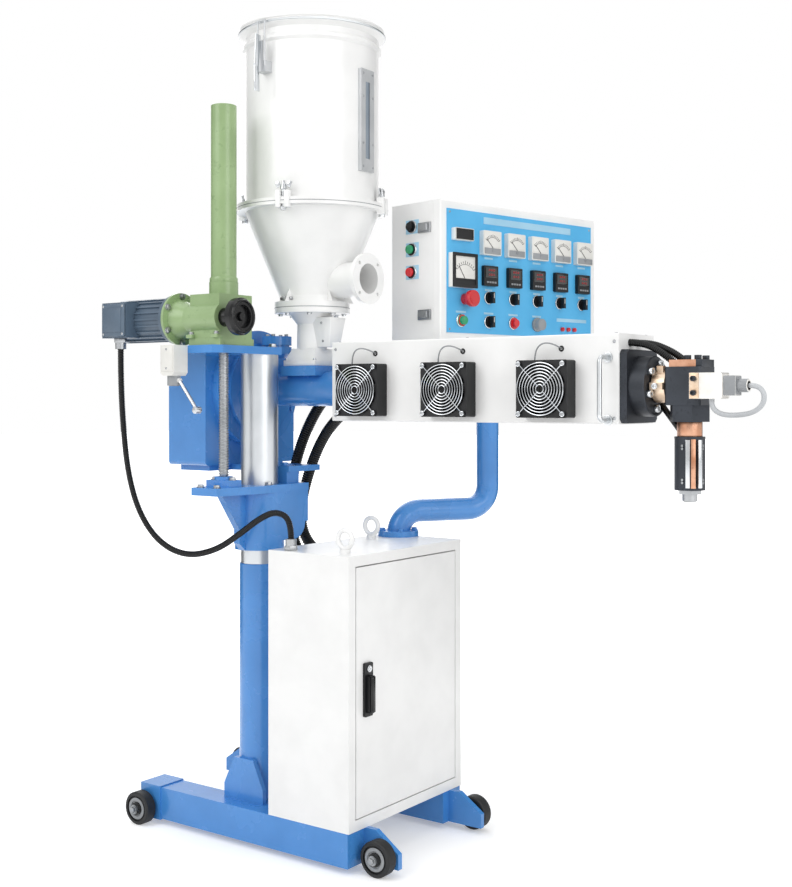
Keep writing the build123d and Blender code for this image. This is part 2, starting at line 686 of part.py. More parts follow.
# Bell housing and feed pipe along the barrel's axis, with a saddle for the throat and a port cap
pipe_end = COVER_LEFT + COVER_WALL
with BuildPart() as feed_pipe:
    spin(
        (GEARBOX_RIGHT, BARREL_Y, BARREL_Z),
        X_WAY,
        [
            (0, 0),
            (DISC_RADIUS, 0),
            (DISC_RADIUS, DISC_THICKNESS),
            (BELL_STEP_RADIUS, DISC_THICKNESS),
            (BELL_STEP_RADIUS, DISC_THICKNESS * 1.5),
            (BELL_NECK_RADIUS, DISC_THICKNESS * 2),
            (FEED_PIPE_RADIUS, DISC_THICKNESS * 2),
            (FEED_PIPE_RADIUS, pipe_end - GEARBOX_RIGHT),
            (0, pipe_end - GEARBOX_RIGHT),
        ],
    )
    saddle = (HOPPER_X - SADDLE_HALF, HOPPER_X + SADDLE_HALF)
    saddle_y = (BARREL_Y - SADDLE_HALF, BARREL_Y + SADDLE_HALF)
    block(saddle, saddle_y, (SADDLE_BOTTOM, SADDLE_TOP))
    cap_height = CAP_TOP - BARREL_Z
    cap_edge = cap_height / 6
    spin(
        (CAP_X, BARREL_Y, BARREL_Z),
        Z_WAY,
        [
            (0, 0),
            (CAP_RADIUS * 0.7, 0),
            (CAP_RADIUS * 0.7, cap_height - cap_edge * 2.5),
            (CAP_RADIUS, cap_height - cap_edge * 2),
            (CAP_RADIUS, cap_height - cap_edge * 1.2),
            (CAP_RADIUS * 0.85, cap_height - cap_edge * 1.2),
            (CAP_RADIUS * 0.85, cap_height - cap_edge),
            (CAP_RADIUS, cap_height - cap_edge),
            (CAP_RADIUS, cap_height),
            (0, cap_height),
        ],
    )
keep(feed_pipe, "feed_pipe")

# Feed throat: a square foot that narrows to a round neck and opens to the hopper's flange
throat_flange = THROAT_TOP - CONE_FLANGE
throat_waist = (SADDLE_TOP + THROAT_TOP) / 2
with BuildPart() as feed_throat:
    with BuildSketch(Plane(origin=(HOPPER_X, BARREL_Y, SADDLE_TOP))):
        RectangleRounded(THROAT_HALF * 2, THROAT_HALF * 2, CONE_FLANGE / 2)
    extrude(amount=CONE_FLANGE)
    with BuildSketch(Plane(origin=(HOPPER_X, BARREL_Y, SADDLE_TOP + CONE_FLANGE))):
        RectangleRounded(THROAT_HALF * 1.6, THROAT_HALF * 1.6, CONE_FLANGE)
    with BuildSketch(Plane(origin=(HOPPER_X, BARREL_Y, throat_waist))):
        Circle(THROAT_NECK)
    loft()
    spin(
        (HOPPER_X, BARREL_Y, throat_waist),
        Z_WAY,
        [
            (0, 0),
            (THROAT_NECK, 0),
            (CONE_BOTTOM_RADIUS * 0.7, throat_flange - throat_waist),
            (CONE_FLANGE_RADIUS, throat_flange - throat_waist),
            (CONE_FLANGE_RADIUS, THROAT_TOP - throat_waist),
            (0, THROAT_TOP - throat_waist),
        ],
    )
    spout_start = (HOPPER_X + THROAT_NECK / 2, BARREL_Y, throat_waist + CONE_FLANGE)
    rod(spout_start, (1, 0, -1), THROAT_NECK * 0.62, THROAT_HALF * 1.3)
    spout_end = Vector(*spout_start) + Vector(1, 0, -1).normalized() * THROAT_HALF * 1.3
    rod(tuple(spout_end), (1, 0, -1), THROAT_NECK * 0.75, CONE_FLANGE / 2)
keep(feed_throat, "feed_throat")

# Hopper: a cone with an air inlet, a round body, a lid on a pin at the back and a sight glass
hopper_foot = THROAT_TOP + CONE_FLANGE
with BuildPart() as hopper_cone:
    spin(
        (HOPPER_X, BARREL_Y, 0),
        Z_WAY,
        [
            (0, THROAT_TOP),
            (CONE_FLANGE_RADIUS, THROAT_TOP),
            (CONE_FLANGE_RADIUS, hopper_foot),
            (CONE_BOTTOM_RADIUS, hopper_foot),
            (CONE_BOTTOM_RADIUS, CONE_BOTTOM),
            (HOPPER_RADIUS, CONE_TOP - HOPPER_FLANGE),
            (HOPPER_FLANGE_RADIUS, CONE_TOP - HOPPER_FLANGE),
            (HOPPER_FLANGE_RADIUS, CONE_TOP),
            (0, CONE_TOP),
        ],
    )
    inlet_length = INLET_END - HOPPER_X
    rod((HOPPER_X, BARREL_Y, INLET_Z), X_WAY, INLET_RADIUS, inlet_length)
    flange_start = (INLET_END - INLET_FLANGE, BARREL_Y, INLET_Z)
    rod(flange_start, X_WAY, INLET_FLANGE_RADIUS, INLET_FLANGE)
    slope = (HOPPER_RADIUS - CONE_BOTTOM_RADIUS) / (CONE_TOP - HOPPER_FLANGE - CONE_BOTTOM)
    floor_z = hopper_foot + HOPPER_WALL
    inner_foot = CONE_BOTTOM_RADIUS - HOPPER_WALL
    inner_top = inner_foot + slope * (CONE_TOP - CONE_BOTTOM)
    hollow = [(0, floor_z), (inner_foot, floor_z), (inner_foot, CONE_BOTTOM)]
    hollow += [(inner_top, CONE_TOP), (0, CONE_TOP)]
    spin((HOPPER_X, BARREL_Y, 0), Z_WAY, hollow, Mode.SUBTRACT)
    rod((HOPPER_X, BARREL_Y, INLET_Z), X_WAY, INLET_BORE, inlet_length, Mode.SUBTRACT)
    with Locations(Plane(origin=(INLET_END, BARREL_Y, INLET_Z), x_dir=Y_WAY, z_dir=X_WAY)):
        with PolarLocations(INLET_BOLT_CIRCLE / 2, INLET_BOLTS, start_angle=180 / INLET_BOLTS):
            Hole(INLET_BOLT_HOLE, INLET_FLANGE)
keep(hopper_cone, "hopper_cone")

hinge_y = BARREL_Y + HOPPER_LIP_RADIUS + HINGE_EAR
hinge_z = HOPPER_TOP + LID_HEIGHT / 2
with BuildPart() as hopper_body:
    spin(
        (HOPPER_X, BARREL_Y, 0),
        Z_WAY,
        [
            (HOPPER_RADIUS - HOPPER_WALL, CONE_TOP),
            (HOPPER_FLANGE_RADIUS, CONE_TOP),
            (HOPPER_FLANGE_RADIUS, CONE_TOP + HOPPER_FLANGE),
            (HOPPER_RADIUS, CONE_TOP + HOPPER_FLANGE),
            (HOPPER_RADIUS, HOPPER_TOP - LID_HEIGHT * 3),
            (HOPPER_RADIUS + HOPPER_WALL * 2, HOPPER_TOP - LID_HEIGHT * 2.6),
            (HOPPER_RADIUS + HOPPER_WALL * 2, HOPPER_TOP - LID_HEIGHT * 2.2),
            (HOPPER_RADIUS, HOPPER_TOP - LID_HEIGHT * 1.8),
            (HOPPER_RADIUS, HOPPER_TOP - LID_HEIGHT),
            (HOPPER_LIP_RADIUS, HOPPER_TOP - LID_HEIGHT / 2),
            (HOPPER_LIP_RADIUS, HOPPER_TOP),
            (HOPPER_RADIUS - HOPPER_WALL, HOPPER_TOP),
        ],
    )
    for side in (-1, 1):
        ear_x = HOPPER_X + side * HINGE_EAR * 2.5
        ear_span = (ear_x - HINGE_EAR / 2, ear_x + HINGE_EAR / 2)
        ear_y = (BARREL_Y + HOPPER_RADIUS - HOPPER_WALL / 2, hinge_y + HINGE_EAR)
        block(ear_span, ear_y, (HOPPER_TOP - LID_HEIGHT * 1.5, HOPPER_TOP))
        block(ear_span, (hinge_y - HINGE_EAR / 2, ear_y[1]), (HOPPER_TOP, hinge_z + HINGE_EAR))
    rod((HOPPER_X - HINGE_EAR * 2.5, hinge_y, hinge_z), X_WAY, HINGE_PIN, HINGE_EAR * 5)
keep(hopper_body, "hopper_body")

with BuildPart() as hopper_lid:
    lid_base = HOPPER_TOP + FIT_GAP
    spin(
        (HOPPER_X, BARREL_Y, lid_base),
        Z_WAY,
        [
            (0, 0),
            (HOPPER_LIP_RADIUS - LID_HEIGHT / 4, 0),
            (HOPPER_LIP_RADIUS, LID_HEIGHT / 4),
            (HOPPER_LIP_RADIUS, LID_HEIGHT / 2),
            (HOPPER_LIP_RADIUS - LID_HEIGHT / 4, LID_HEIGHT * 3 / 4),
            (HOPPER_RADIUS - LID_HEIGHT, LID_HEIGHT * 3 / 4),
            (HOPPER_RADIUS / 2, LID_HEIGHT),
            (0, LID_HEIGHT),
        ],
    )
    knuckle_half = HINGE_EAR * 1.5
    block(
        (HOPPER_X - knuckle_half, HOPPER_X + knuckle_half),
        (BARREL_Y + HOPPER_LIP_RADIUS - LID_HEIGHT, hinge_y),
        (lid_base, hinge_z + HINGE_PIN),
    )
    rod((HOPPER_X - knuckle_half, hinge_y, hinge_z), X_WAY, HINGE_PIN * 2, knuckle_half * 2)
    pin_hole = HINGE_PIN + FIT_GAP
    rod((HOPPER_X - knuckle_half, hinge_y, hinge_z), X_WAY, pin_hole, knuckle_half * 2, Mode.SUBTRACT)
keep(hopper_lid, "hopper_lid")

with BuildPart() as hopper_fittings:
    strip_x = HOPPER_X + HOPPER_RADIUS
    strip = (BARREL_Y - SIGHT_WIDTH / 2, BARREL_Y + SIGHT_WIDTH / 2)
    block((strip_x - SIGHT_DEPTH, strip_x + SIGHT_DEPTH), strip, (SIGHT_BOTTOM, SIGHT_TOP))
    slot = (BARREL_Y - SIGHT_WIDTH / 6, BARREL_Y + SIGHT_WIDTH / 6)
    slot_levels = (SIGHT_BOTTOM + SIGHT_WIDTH * 0.6, SIGHT_TOP - SIGHT_WIDTH * 0.6)
    block((strip_x + SIGHT_DEPTH / 2, strip_x + SIGHT_DEPTH), slot, slot_levels, Mode.SUBTRACT)
    hopper_line = (HOPPER_X, BARREL_Y, SIGHT_BOTTOM)
    # Toggle catch on the hopper's front: a footplate, a lever and a wire bail beside the lid's edge
    wall_y = BARREL_Y - HOPPER_RADIUS
    bail_y = BARREL_Y - HOPPER_LIP_RADIUS - HINGE_PIN * 2
    foot_z = CATCH_TOP - CATCH_HEIGHT
    catch_half = CATCH_WIDTH / 2
    foot_levels = (foot_z, foot_z + CATCH_WIDTH)
    block((HOPPER_X - catch_half, HOPPER_X + catch_half), (bail_y, wall_y + HOPPER_WALL), foot_levels)
    lever_levels = (foot_z, foot_z + CATCH_HEIGHT * 0.6)
    block((HOPPER_X - catch_half / 2, HOPPER_X + catch_half / 2), (bail_y - HINGE_PIN, bail_y), lever_levels)
    for side in (-1, 1):
        wire_start = (HOPPER_X + side * catch_half * 0.8, bail_y, foot_z + CATCH_WIDTH / 2)
        rod(wire_start, Z_WAY, HINGE_PIN / 2, CATCH_HEIGHT - CATCH_WIDTH / 2)
    rod((HOPPER_X - catch_half, bail_y, CATCH_TOP), X_WAY, HINGE_PIN / 2, CATCH_WIDTH)
    rod(hopper_line, Z_WAY, HOPPER_RADIUS, CATCH_TOP - SIGHT_BOTTOM, Mode.SUBTRACT)
keep(hopper_fittings, "hopper_fittings")

# Barrel, its sheet cover, the cooling fans and the pull handle
with BuildPart() as barrel_cover:
    block((COVER_LEFT, COVER_RIGHT), (COVER_FRONT, COVER_BACK), (COVER_BOTTOM, COVER_TOP))
    fillet(barrel_cover.edges().filter_by(Axis.X), COVER_WALL)
    inside = [(low + COVER_WALL, high - COVER_WALL) for low, high in (
        (COVER_LEFT, COVER_RIGHT), (COVER_FRONT, COVER_BACK), (COVER_BOTTOM, COVER_TOP))]
    block(*inside, Mode.SUBTRACT)
    pipe_hole = FEED_PIPE_RADIUS + FIT_GAP
    rod((COVER_LEFT, BARREL_Y, BARREL_Z), X_WAY, pipe_hole, COVER_WALL, Mode.SUBTRACT)
    barrel_hole = BARREL_RADIUS + FIT_GAP
    rod((COVER_RIGHT - COVER_WALL, BARREL_Y, BARREL_Z), X_WAY, barrel_hole, COVER_WALL, Mode.SUBTRACT)
    for fan_x in FAN_CENTRES:
        rod((fan_x, COVER_FRONT, FAN_Z), Y_WAY, FAN_BORE, COVER_WALL, Mode.SUBTRACT)
    hose_starts = [(COVER_LEFT, HOSE_Y, BARREL_Z + drop) for drop in HOSE_START_LEVELS]
    for hose_start in hose_starts:
        rod(hose_start, LEFT_WAY, HOSE_GLAND_RADIUS, HOSE_GLAND)
keep(barrel_cover, "barrel_cover")

fan_half = FAN_SIZE / 2
with BuildPart() as fan_frames:
    for fan_x in FAN_CENTRES:
        fan_plane = Plane(origin=(fan_x, COVER_FRONT, FAN_Z), x_dir=X_WAY, z_dir=FRONT_WAY)
        with BuildSketch(fan_plane):
            RectangleRounded(FAN_SIZE, FAN_SIZE, FAN_WEB)
            Circle(FAN_BORE, mode=Mode.SUBTRACT)
        extrude(amount=FAN_DEPTH)
        with BuildSketch(fan_plane):
            Circle(FAN_HUB)
            Rectangle(FAN_SIZE - FAN_WEB, FAN_WEB * 1.5, rotation=45)
            Rectangle(FAN_SIZE - FAN_WEB, FAN_WEB * 1.5, rotation=-45)
        extrude(amount=FAN_WEB)
        rod((fan_x, COVER_FRONT - FAN_WEB, FAN_Z), FRONT_WAY, FAN_WEB, FAN_DEPTH / 2)
keep(fan_frames, "fan_frames")

# One blade, from a steep root in the hub to a flatter tip, and the rotor that repeats it
rotor_depth = FAN_DEPTH - FAN_WEB * 2
with BuildPart() as blade:
    with BuildSketch(Plane.YZ.offset(FAN_HUB * 0.8)):
        Rectangle(rotor_depth * 0.8, FAN_WEB / 2, rotation=50)
    with BuildSketch(Plane.YZ.offset(FAN_BORE - FAN_TIP_GAP)):
        Rectangle(rotor_depth * 1.1, FAN_WEB / 2, rotation=30)
    loft()
for number, fan_x in enumerate(FAN_CENTRES, start=1):
    rotor_start = COVER_FRONT - FAN_WEB - FIT_GAP
    rotor_plane = Plane(origin=(fan_x, rotor_start, FAN_Z), x_dir=X_WAY, z_dir=FRONT_WAY)
    with BuildPart(rotor_plane) as rotor:
        Cylinder(FAN_HUB, rotor_depth, align=FROM_BASE)
        with Locations((0, 0, rotor_depth / 2)):
            with PolarLocations(0, FAN_BLADES):
                add(blade.part)
        Cylinder(FAN_BORE - FAN_TIP_GAP, rotor_depth, align=FROM_BASE, mode=Mode.INTERSECT)
        Cylinder(FAN_WEB + FIT_GAP, FAN_DEPTH / 2, align=FROM_BASE, mode=Mode.SUBTRACT)
    keep(rotor, f"fan_rotor_{number}")

with BuildPart() as fan_guards:
    for fan_x in FAN_CENTRES:
        guard_y = COVER_FRONT - FAN_DEPTH
        guard_plane = Plane(origin=(fan_x, guard_y, FAN_Z), x_dir=X_WAY, z_dir=FRONT_WAY)
        with BuildSketch(guard_plane.offset(GUARD_STANDOFF)):
            for ring in GUARD_RINGS:
                Circle(ring + GUARD_WIRE / 2)
                Circle(ring - GUARD_WIRE / 2, mode=Mode.SUBTRACT)
            Rectangle(GUARD_RINGS[-1] * 2, GUARD_WIRE, rotation=45)
            Rectangle(GUARD_RINGS[-1] * 2, GUARD_WIRE, rotation=-45)
        extrude(amount=GUARD_WIRE)
        corner = fan_half - FAN_WEB * 2
        with Locations(guard_plane):
            with GridLocations(corner * 2, corner * 2, 2, 2):
                leg_height = GUARD_STANDOFF + GUARD_WIRE
                Cylinder(FAN_WEB, leg_height, align=FROM_BASE)
        with BuildSketch(guard_plane.offset(GUARD_STANDOFF)):
            Rectangle(corner * 2 * sqrt(2), GUARD_WIRE, rotation=45)
            Rectangle(corner * 2 * sqrt(2), GUARD_WIRE, rotation=-45)
        extrude(amount=GUARD_WIRE)
keep(fan_guards, "fan_guards")

with BuildPart() as pull_handle:
    grip_y = COVER_FRONT - HANDLE_REACH
    low_z = FAN_Z - HANDLE_HEIGHT / 2
    with BuildLine():
        FilletPolyline(
            (HANDLE_X, COVER_FRONT, low_z),
            (HANDLE_X, grip_y, low_z),
            (HANDLE_X, grip_y, low_z + HANDLE_HEIGHT),
            (HANDLE_X, COVER_FRONT, low_z + HANDLE_HEIGHT),
            radius=HANDLE_ROD * 2.5,
        )
    with BuildSketch(Plane(origin=(HANDLE_X, COVER_FRONT, low_z), z_dir=FRONT_WAY)):
        Circle(HANDLE_ROD)
    sweep()
keep(pull_handle, "pull_handle")

# Die: an end plate, a bolted flange, a heated neck, a block that turns the melt down, and the nozzle
flange_x = COVER_RIGHT + END_PLATE
neck_x = flange_x + DIE_FLANGE
die_left = DIE_X - DIE_HALF
with BuildPart() as barrel:
    y_span = (BARREL_Y - END_PLATE_FRONT, BARREL_Y + END_PLATE_BACK)
    z_span = (BARREL_Z - END_PLATE_HALF, BARREL_Z + END_PLATE_HALF)
    block((COVER_RIGHT, flange_x), y_span, z_span)
    chamfer(barrel.edges().filter_by(Axis.X), END_PLATE / 2)
    rod((flange_x, BARREL_Y, BARREL_Z), X_WAY, DIE_FLANGE_RADIUS, DIE_FLANGE)
    chamfer(barrel.faces().sort_by(Axis.X)[-1].edges(), END_PLATE / 8)
    rod((pipe_end, BARREL_Y, BARREL_Z), X_WAY, BARREL_RADIUS, COVER_RIGHT - pipe_end)
    rod((neck_x, BARREL_Y, BARREL_Z), X_WAY, NECK_RADIUS, die_left - neck_x)
keep(barrel, "barrel")

with BuildPart() as neck_heater:
    band_x = (neck_x + die_left - BAND_LENGTH) / 2
    rod((band_x, BARREL_Y, BARREL_Z), X_WAY, BAND_RADIUS, BAND_LENGTH)
    lug_half = BAND_LENGTH / 4
    lug_span = (BARREL_Y - BAND_RADIUS - lug_half, BARREL_Y)
    block((band_x, band_x + BAND_LENGTH), lug_span, (BARREL_Z - lug_half, BARREL_Z + lug_half))
    band_middle = band_x + BAND_LENGTH / 2
    terminal_y = BARREL_Y - DIE_PLATE
    terminal_top = BARREL_Z + BAND_RADIUS + lug_half
    terminal_x = (band_middle - lug_half, band_middle + lug_half)
    block(terminal_x, (terminal_y - lug_half, terminal_y + lug_half), (BARREL_Z, terminal_top))
    rod((band_x, BARREL_Y, BARREL_Z), X_WAY, NECK_RADIUS + FIT_GAP, BAND_LENGTH, Mode.SUBTRACT)
keep(neck_heater, "neck_heater")

die_right = DIE_X + DIE_HALF
die_bottom = BARREL_Z - DIE_HEIGHT / 2
die_top = BARREL_Z + DIE_HEIGHT / 2
nut_bottom = die_bottom - NUT_HEIGHT
heater_top = nut_bottom - DIE_NECK
heater_bottom = heater_top - HEATER_HEIGHT
with BuildPart() as die_block:
    block((die_left, die_right), (BARREL_Y - DIE_HALF, BARREL_Y + DIE_HALF), (die_bottom, die_top))
    chamfer(die_block.edges().filter_by(Axis.Z), DIE_PLATE / 4)
    with BuildSketch(Plane(origin=(DIE_X, BARREL_Y, nut_bottom))):
        RegularPolygon(NUT_RADIUS, 6)
    extrude(amount=NUT_HEIGHT)
keep(die_block, "die_block")

with BuildPart() as die_top_plate:
    side_half = DIE_HALF - DIE_PLATE / 2
    y_span = (BARREL_Y - side_half, BARREL_Y + side_half)
    block((die_left + DIE_PLATE / 2, die_right), y_span, (die_top, die_top + DIE_PLATE))
keep(die_top_plate, "die_top_plate")

terminal_end = die_right + TERMINAL_LENGTH
terminal_front = BARREL_Y - DIE_HALF - TERMINAL_PROUD
terminal_levels = (BARREL_Z - TERMINAL_HEIGHT / 2, BARREL_Z + TERMINAL_HEIGHT / 2)
plug_end = terminal_end + PLUG_LENGTH
plug_y = BARREL_Y - DIE_HALF
with BuildPart() as die_terminal:
    block((die_right - TERMINAL_LAP, terminal_end), (terminal_front, plug_y), terminal_levels)
    block((die_right, terminal_end), (plug_y, plug_y + TERMINAL_PROUD), terminal_levels)
    chamfer(die_terminal.faces().sort_by(Axis.X)[-1].edges(), DIE_PLATE / 5)
    block(
        (terminal_end, terminal_end + PLUG_LENGTH * 0.55),
        (plug_y - PLUG_RADIUS * 0.85, plug_y + PLUG_RADIUS * 0.85),
        (BARREL_Z - PLUG_RADIUS, BARREL_Z + PLUG_RADIUS),
    )
    rod((terminal_end, plug_y, BARREL_Z), X_WAY, PLUG_RADIUS * 0.65, PLUG_LENGTH)
keep(die_terminal, "die_terminal")

with BuildPart() as nozzle_heater:
    rod((DIE_X, BARREL_Y, heater_bottom), Z_WAY, HEATER_RADIUS, HEATER_HEIGHT)
    rod((DIE_X, BARREL_Y, heater_top), Z_WAY, DIE_NECK_RADIUS, DIE_NECK)
    # Two clamp lips beside the slot, on the side that faces the operator
    clamp_width = HEATER_RADIUS / 4
    clamp_height = HEATER_HEIGHT - clamp_width * 2
    for clamp_turn in (CLAMP_TURN - CLAMP_SPREAD, CLAMP_TURN + CLAMP_SPREAD):
        outward = (cos(radians(clamp_turn)), sin(radians(clamp_turn)), 0)
        with Locations(Plane(origin=(DIE_X, BARREL_Y, heater_bottom + clamp_width), x_dir=outward, z_dir=Z_WAY)):
            Box(HEATER_RADIUS + clamp_width, clamp_width, clamp_height, align=(Align.MIN, Align.CENTER, Align.MIN))
keep(nozzle_heater, "nozzle_heater")

with BuildPart() as nozzle_tip:
    tip_step = TIP_HEIGHT / 3
    with BuildSketch(Plane(origin=(DIE_X, BARREL_Y, heater_bottom))):
        RegularPolygon(HEATER_RADIUS * 0.8, 6)
    extrude(amount=-tip_step)
    rod((DIE_X, BARREL_Y, heater_bottom - tip_step), DOWN_WAY, TIP_RADIUS, TIP_HEIGHT - tip_step)
    chamfer(nozzle_tip.faces().sort_by(Axis.Z)[0].edges(), TIP_RADIUS / 6)
keep(nozzle_tip, "nozzle_tip")

# Cabinet: a sheet shell whose right side has a rebated doorway, a door, eye bolts and glands
cabinet_y = (CABINET_FRONT, CABINET_BACK)
cabinet_z = (BEAM_TOP, CABINET_TOP)
door_y = (CABINET_FRONT + DOOR_MARGIN, CABINET_BACK - DOOR_MARGIN)
door_z = (BEAM_TOP + DOOR_MARGIN, CABINET_TOP - DOOR_MARGIN)
lip_x = CABINET_RIGHT - DOOR_THICKNESS - FIT_GAP


def shrink(span, amount):
    """Return a span made shorter by the same amount at both ends."""
    return (span[0] + amount, span[1] - amount)


with BuildPart() as cabinet_shell:
    block((CABINET_LEFT, CABINET_RIGHT), cabinet_y, cabinet_z)
    inner_x = (CABINET_LEFT + CABINET_WALL, lip_x - CABINET_WALL)
    block(inner_x, shrink(cabinet_y, CABINET_WALL), shrink(cabinet_z, CABINET_WALL), Mode.SUBTRACT)
    through_x = (inner_x[1], CABINET_RIGHT)
    block(through_x, shrink(door_y, DOOR_LIP), shrink(door_z, DOOR_LIP), Mode.SUBTRACT)
    block((lip_x, CABINET_RIGHT), door_y, door_z, Mode.SUBTRACT)
keep(cabinet_shell, "cabinet_shell")

with BuildPart() as cabinet_door:
    door_x = (CABINET_RIGHT - DOOR_THICKNESS, CABINET_RIGHT)
    block(door_x, shrink(door_y, DOOR_GAP), shrink(door_z, DOOR_GAP))
    tray = DOOR_LIP * 2
    tray_x = (door_x[0], CABINET_RIGHT - CABINET_WALL)
    block(tray_x, shrink(door_y, tray), shrink(door_z, tray), Mode.SUBTRACT)
keep(cabinet_door, "cabinet_door")

with BuildPart() as door_handle:
    handle_y = door_y[0] + LATCH_WIDTH * 1.4
    handle_plane = Plane(origin=(CABINET_RIGHT, handle_y, LATCH_Z), x_dir=Y_WAY, z_dir=X_WAY)
    with BuildSketch(handle_plane):
        RectangleRounded(LATCH_WIDTH, LATCH_HEIGHT, LATCH_WIDTH / 8)
    extrude(amount=LATCH_WIDTH / 5)
    with BuildSketch(handle_plane.offset(LATCH_WIDTH / 5)):
        with Locations((0, -LATCH_HEIGHT / 12)):
            RectangleRounded(LATCH_WIDTH * 0.6, LATCH_HEIGHT * 0.7, LATCH_WIDTH / 8)
    extrude(amount=LATCH_WIDTH / 3)
keep(door_handle, "door_handle")

eye_margin = DOOR_MARGIN * 2
eye_places = (
    (CABINET_RIGHT - eye_margin, CABINET_FRONT + eye_margin),
    (CABINET_LEFT + eye_margin, CABINET_BACK - eye_margin * 2.5),
)
with BuildPart() as eye_bolts:
    for eye_x, eye_y in eye_places:
        rod((eye_x, eye_y, CABINET_TOP), Z_WAY, EYE_WIRE * 2, EYE_WIRE * 1.5)
        ring_z = CABINET_TOP + EYE_WIRE * 2 + EYE_RING
        with Locations(Plane(origin=(eye_x, eye_y, ring_z), z_dir=FRONT_WAY)):
            Torus(EYE_RING, EYE_WIRE)
keep(eye_bolts, "eye_bolts")

motor_gland_z = box_levels[0]
cabinet_gland = (CABINET_LEFT + DOOR_MARGIN * 2, CABINET_FRONT + DOOR_MARGIN)
hose_ends = [(CABINET_LEFT, HOSE_END_Y, level) for level in HOSE_END_LEVELS]
with BuildPart() as cable_glands:
    rod((gland_x, gland_y, motor_gland_z), DOWN_WAY, GLAND_RADIUS, GLAND_LENGTH)
    rod((*cabinet_gland, CABINET_TOP), Z_WAY, GLAND_RADIUS, GLAND_LENGTH)
    for hose_end in hose_ends:
        rod(hose_end, LEFT_WAY, HOSE_GLAND_RADIUS, HOSE_GLAND)
keep(cable_glands, "cable_glands")

# Pipe from the cabinet's top to the control box
with BuildPart() as support_pipe:
    pipe_foot = (PIPE_X, PIPE_Y, CABINET_TOP)
    pipe_head = BOX_X - PIPE_SET_BACK
    with BuildLine():
        FilletPolyline(
            pipe_foot,
            (PIPE_X, PIPE_Y, PIPE_RUN_Z),
            (pipe_head, BOX_Y, PIPE_RUN_Z),
            (pipe_head, BOX_Y, BOX_BOTTOM),
            radius=PIPE_BEND,
        )
    with BuildSketch(Plane(origin=pipe_foot)):
        Circle(PIPE_RADIUS)
    sweep()
    rod(pipe_foot, Z_WAY, PIPE_FLANGE_RADIUS, PIPE_FLANGE)
    rod((pipe_head, BOX_Y, BOX_BOTTOM), DOWN_WAY, PIPE_FLANGE_RADIUS, PIPE_FLANGE)
keep(support_pipe, "support_pipe")

# Control box, turned towards the operator: a shell, an overlaid door and the panel's instruments
box_front_way = Vector(cos(radians(BOX_TURN)), sin(radians(BOX_TURN)), 0)
box_right_way = Vector(-sin(radians(BOX_TURN)), cos(radians(BOX_TURN)), 0)
box_middle = Vector(BOX_X, BOX_Y, BOX_BOTTOM + BOX_HEIGHT / 2)
front_plane = Plane(
    origin=tuple(box_middle + box_front_way * (BOX_DEPTH / 2)),
    x_dir=tuple(box_right_way),
    z_dir=tuple(box_front_way),
)
box_side = Plane(
    origin=tuple(box_middle - box_right_way * (BOX_WIDTH / 2)),
    x_dir=tuple(box_front_way),
    z_dir=tuple(-box_right_way),
)
with BuildPart() as control_box:
    with BuildSketch(front_plane):
        Rectangle(BOX_WIDTH, BOX_HEIGHT)
    extrude(amount=-BOX_DEPTH)
    with BuildSketch(front_plane):
        Rectangle(BOX_WIDTH - BOX_WALL * 2, BOX_HEIGHT - BOX_WALL * 2)
    extrude(amount=-(BOX_DEPTH - BOX_WALL), mode=Mode.SUBTRACT)
    with Locations(front_plane):
        with Locations((BOX_WIDTH / 2, BOX_HEIGHT / 3, -BOX_DOOR), (BOX_WIDTH / 2, -BOX_HEIGHT / 3, -BOX_DOOR)):
            Box(HINGE_PIN * 2, BOX_DOOR * 2, BOX_DOOR, align=(Align.MIN, Align.CENTER, Align.MIN))
    latch_x = BOX_DEPTH / 2 - LATCH_WIDTH
    with Locations(box_side):
        with Locations((latch_x, BOX_HEIGHT / 3.2), (latch_x, -BOX_HEIGHT / 3.2)):
            Box(LATCH_WIDTH * 1.4, LATCH_WIDTH * 0.8, FAN_WEB, align=FROM_BASE)
            Box(LATCH_WIDTH, LATCH_WIDTH / 2, FAN_WEB * 2.5, align=FROM_BASE)
keep(control_box, "control_box")

door_plane = front_plane.offset(FIT_GAP)
panel_face = door_plane.offset(BOX_DOOR)
with BuildPart() as control_door:
    with BuildSketch(door_plane):
        Rectangle(BOX_WIDTH, BOX_HEIGHT)
    extrude(amount=BOX_DOOR)
    with BuildSketch(door_plane):
        Rectangle(BOX_WIDTH - PANEL_MARGIN * 2, BOX_HEIGHT - PANEL_MARGIN * 2)
    extrude(amount=BOX_DOOR - PANEL_PLATE, mode=Mode.SUBTRACT)
    chamfer(control_door.faces().sort_by(Axis((0, 0, 0), tuple(box_front_way)))[-1].edges(), PANEL_PLATE)
keep(control_door, "control_door")

panel_width = BOX_WIDTH - PANEL_MARGIN * 2
panel_height = BOX_HEIGHT - PANEL_MARGIN * 2
with BuildPart() as control_panel:
    with BuildSketch(panel_face):
        Rectangle(panel_width, panel_height)
    extrude(amount=PANEL_PLATE)
keep(control_panel, "control_panel")

instrument_face = panel_face.offset(PANEL_PLATE)
column_step = panel_width * 0.165
first_column = -panel_width * 0.235
zone_columns = [first_column + column_step * zone for zone in range(5)]
left_column = -panel_width * 0.415
row_heights = {"meters": 0.25, "controllers": -0.02, "selectors": -0.2, "buttons": -0.4}
rows = {name: share * panel_height for name, share in row_heights.items()}

